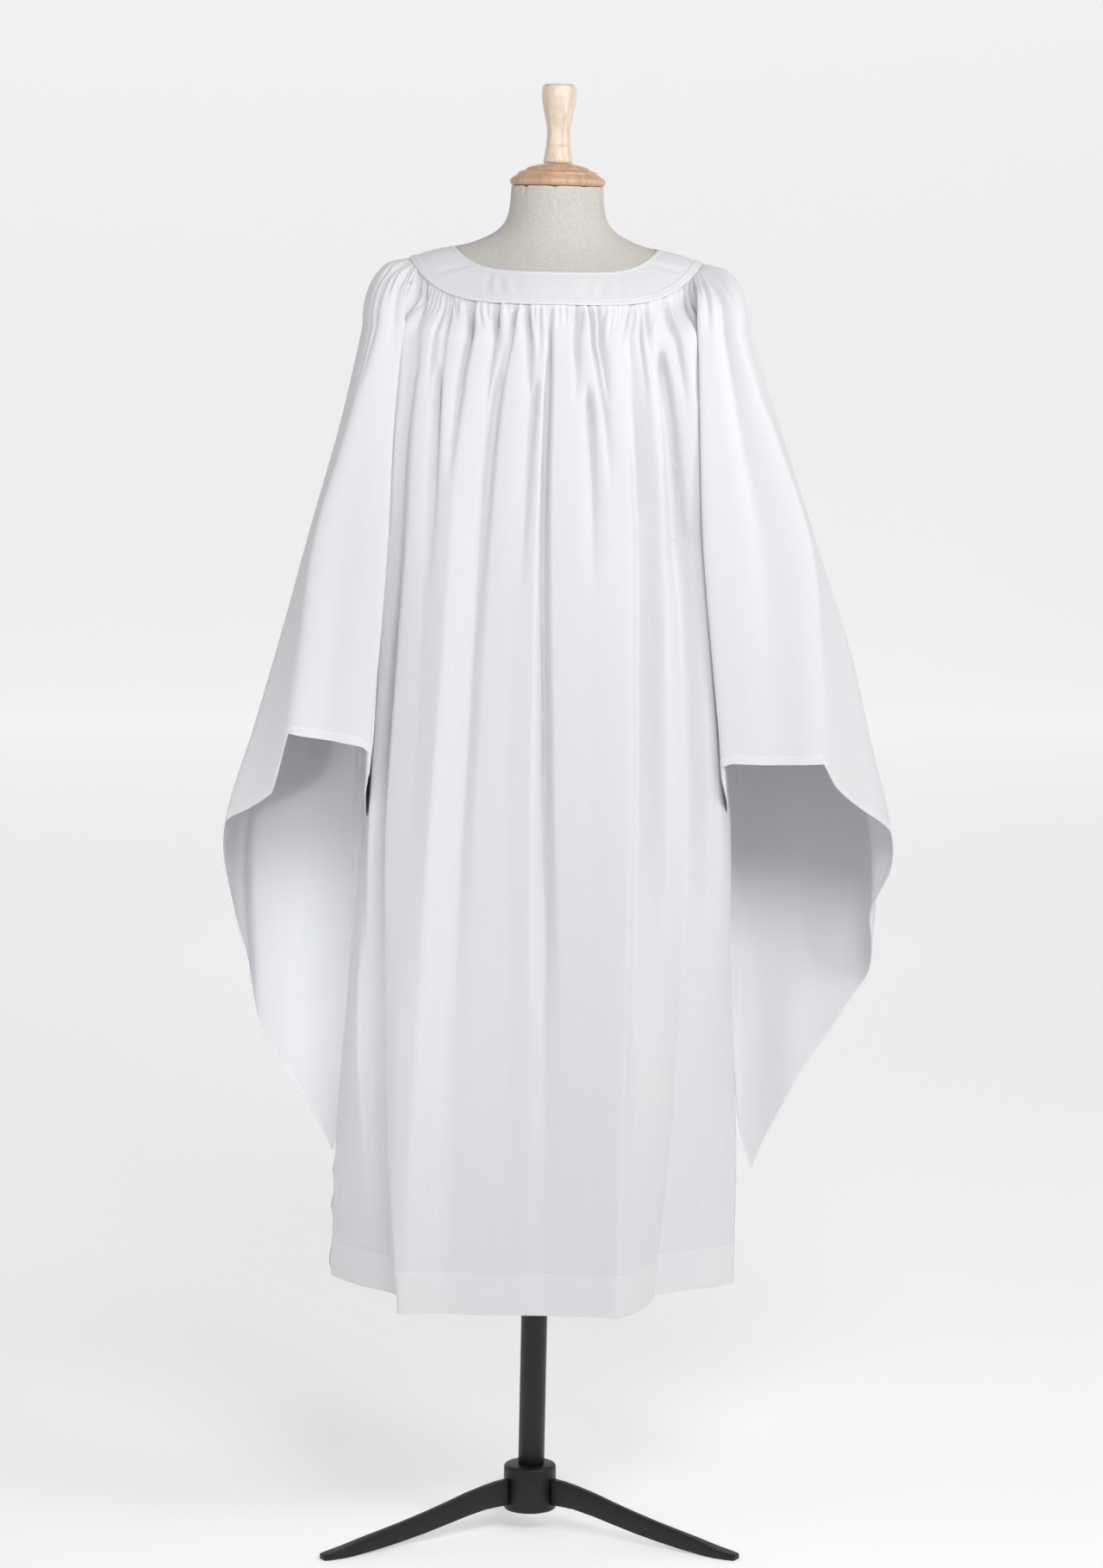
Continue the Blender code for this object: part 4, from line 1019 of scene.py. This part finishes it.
def yokeWave(angle, share):
    s = creaseShape
    degrees = np.degrees(angle)
    wave = np.zeros(len(angle))
    for atNeck, atSeam, first, last, width, depth in dragCreases:
        centre = atNeck + (atSeam - atNeck) * share
        away = (degrees - centre + 180) % 360 - 180
        along = ease(first + s["start"][0], first + s["start"][1], share)
        along *= ease(last + s["end"][0], last + s["end"][1], share)
        trough = np.exp(-((away / width) ** 2))
        rise = np.exp(-(((away - s["riseAside"] * width) / width) ** 2))
        wave += depth / 1000 * along * (trough - s["rise"] * rise)
    return wave


def makeYoke():
    s = yoke
    angle = np.arange(s["columns"]) * 2 * math.pi / s["columns"]
    shares = (*np.linspace(0.0, s["evenEnd"], s["evenRows"]), *s["edgeRows"])
    outer = []
    inner = []
    for share in shares:
        point = yokePoint(angle, share)
        normal = yokeNormal(angle, share)
        lap = s["lap"] * ease(*s["lapStart"], share) - s["lapTurn"] * ease(*s["lapEnd"], share)
        neck = s["neckEdge"] * ease(*s["neckTurn"][0], share) * ease(*s["neckTurn"][1], share)
        ripple = s["ripple"] * np.sin(angle * s["ripples"]) * ease(*s["rippleStart"], share)
        rise = yokeWave(angle, share) + ripple + lap + neck
        outer.append(point + normal * (s["halfThickness"] + rise)[:, None])
        inset = rise * s["innerRise"] - s["halfThickness"] + s["innerThinner"]
        inner.append(point + normal * inset[:, None])
    around = np.linspace(0, s["flat"][0], s["columns"])[None, :] + np.zeros((len(shares), 1))
    across = -s["flat"][1] * np.array(shares)[:, None] + np.zeros((1, s["columns"]))
    return wallPiece("yokeBand", leaned(outer), leaned(inner), np.stack([around, across], axis=-1),
                     np.zeros(len(shares)), True, cotton)


pieces["yokeBand"] = makeYoke()
print("yoke made")


# each stitch is a short thread pressed into the cloth
thread = {
    "pitch": 0.0030,
    "long": 0.0024,
    "wide": 0.00055,
    "high": 0.00035,
    "above": 0.0004,  # over the cloth's face at a hem
    "colour": "#fbfbfd",
}


def makeThreadMaterial():
    # mercerised cotton sewing thread, a little shinier than the cloth
    material, tree, shader = newMaterial("sewingThread", thread["colour"], 0.55)
    place = addNode(tree, "TexCoord")
    # the ply is about 0.55 mm long
    ply = addNode(tree, "TexNoise", {"Scale": 1800.0, "Detail": 1.0}, {"Vector": (place, "Object")})
    bump = addNode(tree, "Bump", {"Strength": 0.3, "Distance": 0.0001}, {"Height": (ply, "Fac")})
    tree.links.new(bump.outputs["Normal"], shader.inputs["Normal"])
    return material


sewingThread = makeThreadMaterial()


def stitchRow(name, line, normals):
    # line and normals are close points along the seam, in the row's frame
    steps = np.linalg.norm(np.diff(line, axis=0), axis=1)
    along = np.concatenate([[0.0], np.cumsum(steps)])
    count = int(along[-1] / thread["pitch"])
    points = []
    faces = []
    # place along the stitch and thickness, as shares of its length and its width
    sections = ((-0.5, 0.35), (-0.32, 0.9), (0.0, 1.0), (0.32, 0.9), (0.5, 0.35))
    for k in range(count):
        middle = (k + 0.5) * thread["pitch"]
        base = np.array([np.interp(middle, along, line[:, i]) for i in range(3)])
        ahead = np.array([np.interp(middle + 0.001, along, line[:, i]) for i in range(3)])
        up = unitLength(np.array([np.interp(middle, along, normals[:, i]) for i in range(3)]))
        way = unitLength(ahead - base)
        side = np.cross(up, way)
        first = len(points)
        for place, size in sections:
            centre = base + way * place * thread["long"]
            for c, d in ((1, 0), (0, 1), (-1, 0), (0, -1)):
                points.append(centre + side * c * size * thread["wide"] / 2 + up * d * size * thread["high"])
        for ring in range(len(sections) - 1):
            a = first + ring * 4
            for j in range(4):
                faces.append((a + j, a + 4 + j, a + 4 + (j + 1) % 4, a + (j + 1) % 4))
        faces.append((first, first + 1, first + 2, first + 3))
        end = first + 4 * (len(sections) - 1)
        faces.append((end + 3, end + 2, end + 1, end))
    mesh = bpy.data.meshes.new(name)
    mesh.from_pydata([tuple(p) for p in points], [], faces)
    return addPiece(name, mesh, sewingThread)


def yokeStitches(name, share, rise):
    angle = np.linspace(0, 2 * math.pi, 2 * yoke["columns"] + 1)
    normal = yokeNormal(angle, share)
    wave = yokeWave(angle, share)[:, None]
    line = yokePoint(angle, share) + normal * (yoke["halfThickness"] + rise + wave)
    return stitchRow(name, leaned(line), normal @ leanTurn.T)


def panelStitches(name, panel):
    outer, inner = panel.skins()
    out = panel.out[panel.hemRow] @ leanTurn.T
    return stitchRow(name, outer[panel.hemRow] + out * thread["above"], out)


stitches = {
    "stitchesYokeUpper": yokeStitches("stitchesYokeUpper", 0.872, yoke["lap"]),
    "stitchesYokeLower": yokeStitches("stitchesYokeLower", 0.965, yoke["lap"]),
    "stitchesNeck": yokeStitches("stitchesNeck", 0.085, yoke["neckEdge"]),
}
hemStitches = ("stitchesHemFront", "stitchesHemBack", "stitchesSleeveLeft", "stitchesSleeveRight")
for name, panel in zip(hemStitches, clothPanels.values()):
    stitches[name] = panelStitches(name, panel)
print("stitches made")


# linen over a papier-mache body
formSettings = {
    "smoothing": 2,
    "mergeWithin": 0.00002,
    "seamDip": 0.0005,
    "seamWidth": 0.0016,
    "linen": "#c9c6be",
    "darkThreads": "#beb9af",
    "lightThreads": "#d7d4cd",
}


def makeLinen():
    # natural linen stretched over the body: even threads with thick places, warm grey
    material, tree, shader = newMaterial("naturalLinen", formSettings["linen"], 0.88)
    shader.inputs["Specular IOR Level"].default_value = 0.3
    place = addNode(tree, "TexCoord")
    # threads 0.7 mm thick, drawn coarser than the real 0.5 mm so that they show, with slubs 5 to 6 mm long
    threads = []
    for scale in ((220.0, 220.0, 1500.0), (1500.0, 1500.0, 160.0)):
        drawn = addNode(tree, "Mapping", {"Scale": scale}, {"Vector": (place, "Object")})
        threads.append(addNode(tree, "TexNoise", {"Scale": 1.0, "Detail": 2.0},
                               {"Vector": (drawn, "Vector")}))
    weave = addNode(tree, "Math", None, {0: (threads[0], "Fac"), 1: (threads[1], "Fac")}, operation="ADD")
    bump = addNode(tree, "Bump", {"Strength": 0.6, "Distance": 0.0004}, {"Height": (weave, "Value")})
    tree.links.new(bump.outputs["Normal"], shader.inputs["Normal"])
    tone = addNode(tree, "MapRange", {"From Min": 0.7, "From Max": 1.3}, {"Value": (weave, "Value")})
    ends = {6: linearColour(formSettings["darkThreads"]), 7: linearColour(formSettings["lightThreads"])}
    colour = addNode(tree, "Mix", ends, {"Factor": (tone, "Result")}, data_type="RGBA")
    tree.links.new(colour.outputs[2], shader.inputs["Base Color"])
    return material


def makeFormCover():
    deselectAll()
    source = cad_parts["form_torso"]
    mesh = source.data.copy()
    mesh.materials.clear()
    cover = bpy.data.objects.new("formCover", mesh)
    bpy.context.scene.collection.objects.link(cover)
    makeActive(cover)
    bpy.ops.object.mode_set(mode="EDIT")
    bpy.ops.mesh.select_all(action="SELECT")
    bpy.ops.mesh.remove_doubles(threshold=formSettings["mergeWithin"])
    bpy.ops.mesh.tris_convert_to_quads()
    bpy.ops.mesh.normals_make_consistent(inside=False)
    bpy.ops.object.mode_set(mode="OBJECT")
    smooth = cover.modifiers.new("smooth", "SUBSURF")
    smooth.levels = formSettings["smoothing"]
    smooth.render_levels = formSettings["smoothing"]
    applyModifiers(cover)
    upright = np.array(leanMatrix.inverted())
    spots = np.empty(len(cover.data.vertices) * 3)
    cover.data.vertices.foreach_get("co", spots)
    spots = spots.reshape(-1, 3)
    local = spots @ upright[:3, :3].T + upright[:3, 3]
    # the cover's seam runs down the middle of the front and the back
    dip = formSettings["seamDip"] * np.exp(-((local[:, 0] / formSettings["seamWidth"]) ** 2))
    spots[:, 1] -= np.sign(local[:, 1]) * dip
    cover.data.vertices.foreach_set("co", spots.ravel())
    cover.data.shade_smooth()
    cover.data.materials.append(makeLinen())
    return cover


pieces["formCover"] = makeFormCover()
print("dress form made")


turnedWood = {
    "sides": 96,
    "markSpacing": 0.0011,  # left by the turning tool
    "pieces": (
        # name, profile, wood, its pale and dark colour and its grain, steps from one place to the next
        ("capTurned", "cap", "oiledBeechCap", ("#dbb698", "#b88f6d", 95.0), 2),
        ("finialTurned", "finial", "paleBeechFinial", ("#eee1d0", "#d5bb9f", 120.0), 4),
    ),
    "cap": (
        # radius, height, from the bottom up
        (0.0500, 1.5373), (0.0520, 1.5385), (0.0535, 1.5420), (0.0520, 1.5450), (0.0470, 1.5484),
        (0.0446, 1.5500), (0.0440, 1.5518), (0.0400, 1.5536), (0.0355, 1.5550), (0.0342, 1.5568),
        (0.0290, 1.5588), (0.0230, 1.5602), (0.0170, 1.5614),
    ),
    "finial": (
        (0.0150, 1.5623), (0.0158, 1.5634), (0.0163, 1.5650), (0.0155, 1.5690), (0.0146, 1.5760),
        (0.0140, 1.5798), (0.0131, 1.5812), (0.0136, 1.5830), (0.0129, 1.5900), (0.0128, 1.5970),
        (0.0135, 1.6040), (0.0150, 1.6110), (0.0167, 1.6190), (0.0180, 1.6260), (0.0190, 1.6320),
        (0.0195, 1.6370), (0.0193, 1.6430), (0.0186, 1.6465), (0.0175, 1.6480), (0.0150, 1.6495),
        (0.0100, 1.6500),
    ),
}


def makeWood(name, pale, dark, grain):
    # oiled beech: dark flecks 4 mm long and soft bands along the grain, fine turning marks round it
    material, tree, shader = newMaterial(name, pale, 0.42)
    shader.inputs["Coat Weight"].default_value = 0.15
    shader.inputs["Coat Roughness"].default_value = 0.3
    place = addNode(tree, "TexCoord")
    long = addNode(tree, "Mapping", {"Scale": (grain, grain, grain * 0.09)}, {"Vector": (place, "Object")})
    bands = addNode(tree, "TexNoise", {"Scale": 1.0, "Detail": 5.0, "Roughness": 0.62, "Distortion": 0.8},
                    {"Vector": (long, "Vector")})
    fleckMap = addNode(tree, "Mapping", {"Scale": (1400.0, 1400.0, 230.0)}, {"Vector": (place, "Object")})
    flecks = addNode(tree, "TexNoise", {"Scale": 1.0, "Detail": 1.0}, {"Vector": (fleckMap, "Vector")})
    mixed = addNode(tree, "Math", {1: 0.35}, {0: (flecks, "Fac"), 2: (bands, "Fac")},
                    operation="MULTIPLY_ADD")
    tone = addNode(tree, "MapRange", {"From Min": 0.48, "From Max": 0.82}, {"Value": (mixed, "Value")})
    colour = addNode(tree, "Mix", {6: linearColour(dark), 7: linearColour(pale)},
                     {"Factor": (tone, "Result")}, data_type="RGBA")
    tree.links.new(colour.outputs[2], shader.inputs["Base Color"])
    turning = {"Scale": waveScale(turnedWood["markSpacing"]), "Distortion": 1.2, "Detail": 1.0}
    marks = addNode(tree, "TexWave", turning, {"Vector": (place, "Object")}, bands_direction="Z")
    relief = addNode(tree, "Math", {1: 0.4}, {0: (marks, "Fac"), 2: (bands, "Fac")},
                     operation="MULTIPLY_ADD")
    bump = addNode(tree, "Bump", {"Strength": 0.25, "Distance": 0.0003}, {"Height": (relief, "Value")})
    tree.links.new(bump.outputs["Normal"], shader.inputs["Normal"])
    return material


def turnedPiece(name, profile, sides, material, upright=True):
    # a ring is drawn up along the profile, then its two ends are closed
    deselectAll()
    radius, height = profile[0]
    bpy.ops.mesh.primitive_circle_add(vertices=sides, radius=radius, location=(0.0, 0.0, height))
    piece = bpy.context.object
    piece.name = name
    bpy.ops.object.transform_apply(location=True, rotation=True, scale=True)
    bpy.ops.object.mode_set(mode="EDIT")
    bpy.ops.mesh.select_mode(type="EDGE")
    bpy.ops.mesh.select_all(action="SELECT")
    bpy.ops.mesh.edge_face_add()
    bpy.ops.mesh.select_all(action="SELECT")
    for nextRadius, nextHeight in profile[1:]:
        bpy.ops.mesh.extrude_region_move(TRANSFORM_OT_translate={"value": (0.0, 0.0, nextHeight - height)})
        size = nextRadius / radius
        bpy.ops.transform.resize(value=(size, size, 1.0), center_override=(0.0, 0.0, nextHeight))
        radius, height = nextRadius, nextHeight
    bpy.ops.mesh.select_all(action="SELECT")
    bpy.ops.mesh.normals_make_consistent(inside=False)
    bpy.ops.object.mode_set(mode="OBJECT")
    piece.data.transform(leanMatrix if upright else standPlace)
    makeActive(piece)
    bpy.ops.object.shade_smooth_by_angle(angle=math.radians(38))
    piece.data.materials.append(material)
    return piece


def fineProfile(profile, steps):
    # more places on a smooth curve through the profile
    at = np.linspace(0, len(profile) - 1, (len(profile) - 1) * steps + 1)
    radius, height = zip(*profile)
    order = np.arange(len(profile))
    return list(zip(through(order, radius, at).tolist(), through(order, height, at).tolist()))


for name, shape, woodName, look, steps in turnedWood["pieces"]:
    wood = makeWood(woodName, *look)
    pieces[name] = turnedPiece(name, fineProfile(turnedWood[shape], steps), turnedWood["sides"], wood)
print("turned wood made")


steelStand = {
    "coat": "#151517",
    "deepCoat": "#0a0a0b",
    "dustyCoat": "#1b1b1d",
    "poleSides": 64,
    "pole": ((0.0146, 0.0755), (0.0150, 0.0762), (0.0150, 0.7990), (0.0146, 0.7997)),
    "hubSides": 80,
    "hub": (
        (0.0272, 0.0220), (0.0290, 0.0226), (0.0298, 0.0236), (0.0300, 0.0250), (0.0300, 0.0708),
        (0.0297, 0.0724), (0.0288, 0.0738), (0.0270, 0.0748), (0.0262, 0.0750),
    ),
    "headings": {"legFrontLeft": -150.0, "legFrontRight": -30.0, "legBack": 90.0},
    "bar": (
        # distance from the axis, underside, height, width
        (0.0303, 0.0300, 0.0300, 0.0100),
        (0.0450, 0.0298, 0.0288, 0.0094),
        (0.0600, 0.0290, 0.0270, 0.0090),
        (0.0850, 0.0246, 0.0256, 0.0090),
        (0.1100, 0.0190, 0.0240, 0.0090),
        (0.1400, 0.0125, 0.0226, 0.0090),
        (0.1700, 0.0070, 0.0210, 0.0090),
        (0.1960, 0.0034, 0.0190, 0.0100),
        (0.2200, 0.0010, 0.0160, 0.0120),
        (0.2330, 0.0002, 0.0130, 0.0155),
        (0.2450, 0.0000, 0.0100, 0.0180),
        (0.2580, 0.0000, 0.0078, 0.0175),
        (0.2660, 0.0000, 0.0066, 0.0158),
        (0.2700, 0.0000, 0.0060, 0.0120),
    ),
    "edge": 0.0011,
}


def makeBlackSteel():
    # black powder coat on flat steel: fine orange peel, dusty and a little grey where feet rub
    material, tree, shader = newMaterial("blackPowderCoat", steelStand["coat"], 0.42)
    place = addNode(tree, "TexCoord")
    # the peel's bumps are about 1.1 mm across, the rubbed places about 18 mm
    peel = addNode(tree, "TexNoise", {"Scale": 900.0, "Detail": 2.0}, {"Vector": (place, "Object")})
    bump = addNode(tree, "Bump", {"Strength": 0.3, "Distance": 0.0002}, {"Height": (peel, "Fac")})
    tree.links.new(bump.outputs["Normal"], shader.inputs["Normal"])
    rub = addNode(tree, "TexNoise", {"Scale": 55.0, "Detail": 6.0, "Roughness": 0.7},
                  {"Vector": (place, "Object")})
    spread = addNode(tree, "MapRange", {"From Min": 0.52, "From Max": 0.78}, {"Value": (rub, "Fac")})
    ends = {6: linearColour(steelStand["deepCoat"]), 7: linearColour(steelStand["dustyCoat"])}
    colour = addNode(tree, "Mix", ends, {"Factor": (spread, "Result")}, data_type="RGBA")
    tree.links.new(colour.outputs[2], shader.inputs["Base Color"])
    rough = addNode(tree, "MapRange", {"To Min": 0.36, "To Max": 0.56}, {"Value": (rub, "Fac")})
    tree.links.new(rough.outputs["Result"], shader.inputs["Roughness"])
    return material


def makeLeg(name, heading, material):
    # a bar on edge is drawn outward, lowered to the floor and widened into a flat tip
    s = steelStand
    reach, low, tall, wide = s["bar"][0]
    nextReach = s["bar"][1][0]
    deselectAll()
    bpy.ops.mesh.primitive_cube_add(
        size=1.0, location=((reach + nextReach) / 2, 0.0, low + tall / 2),
        scale=(nextReach - reach, wide, tall))
    leg = bpy.context.object
    leg.name = name
    bpy.ops.object.transform_apply(location=True, rotation=True, scale=True)
    bpy.ops.object.mode_set(mode="EDIT")
    bpy.ops.mesh.select_mode(type="FACE")
    bpy.ops.mesh.select_all(action="DESELECT")
    shape = bmesh.from_edit_mesh(leg.data)
    for face in shape.faces:
        face.select = face.normal.x > 0.9
    bmesh.update_edit_mesh(leg.data)
    for station, (atReach, atLow, atTall, atWide) in enumerate(s["bar"][1:]):
        move = (atReach - reach, 0.0, (atLow + atTall / 2) - (low + tall / 2))
        if station == 0:
            bpy.ops.transform.translate(value=(0.0, 0.0, move[2]))
        else:
            bpy.ops.mesh.extrude_region_move(TRANSFORM_OT_translate={"value": move})
        middle = (atReach, 0.0, atLow + atTall / 2)
        bpy.ops.transform.resize(value=(1.0, atWide / wide, atTall / tall), center_override=middle)
        reach, low, tall, wide = atReach, atLow, atTall, atWide
    bpy.ops.object.mode_set(mode="OBJECT")
    edges = leg.modifiers.new("edges", "BEVEL")
    edges.width = s["edge"]
    edges.segments = 3
    edges.limit_method = "ANGLE"
    edges.angle_limit = math.radians(40)
    applyModifiers(leg)
    leg.data.transform(standPlace @ Matrix.Rotation(math.radians(heading), 4, "Z"))
    bpy.ops.object.shade_smooth_by_angle(angle=math.radians(32))
    leg.data.materials.append(material)
    return leg


blackSteel = makeBlackSteel()
pieces["poleTube"] = turnedPiece("poleTube", steelStand["pole"], steelStand["poleSides"], blackSteel)
pieces["hubBlock"] = turnedPiece("hubBlock", steelStand["hub"], steelStand["hubSides"], blackSteel, False)
for name, heading in steelStand["headings"].items():
    pieces[name] = makeLeg(name, heading, blackSteel)
print("stand made")


standsFor = {
    # piece: the solid that it stands for, and its slot
    "yokeBand": ("yoke", "cotton"),
    "surpliceFront": ("front_panel", "cotton"),
    "surpliceBack": ("back_panel", "cotton"),
    "sleeveLeft": ("sleeve_left", "cotton"),
    "sleeveRight": ("sleeve_right", "cotton"),
    "formCover": ("form_torso", "linen"),
    "capTurned": ("neck_cap", "wood"),
    "finialTurned": ("finial", "pale_wood"),
    "poleTube": ("pole", "black_steel"),
    "hubBlock": ("hub", "black_steel"),
    "legFrontLeft": ("leg_front_left", "black_steel"),
    "legFrontRight": ("leg_front_right", "black_steel"),
    "legBack": ("leg_back", "black_steel"),
}
for name, (node, slot) in standsFor.items():
    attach(pieces[name], "root")
    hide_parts(node)
for row in stitches.values():
    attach(row, "root")

for name, piece in pieces.items():
    triangles = sum(len(face.vertices) - 2 for face in piece.data.polygons)
    print(name, triangles, "triangles")
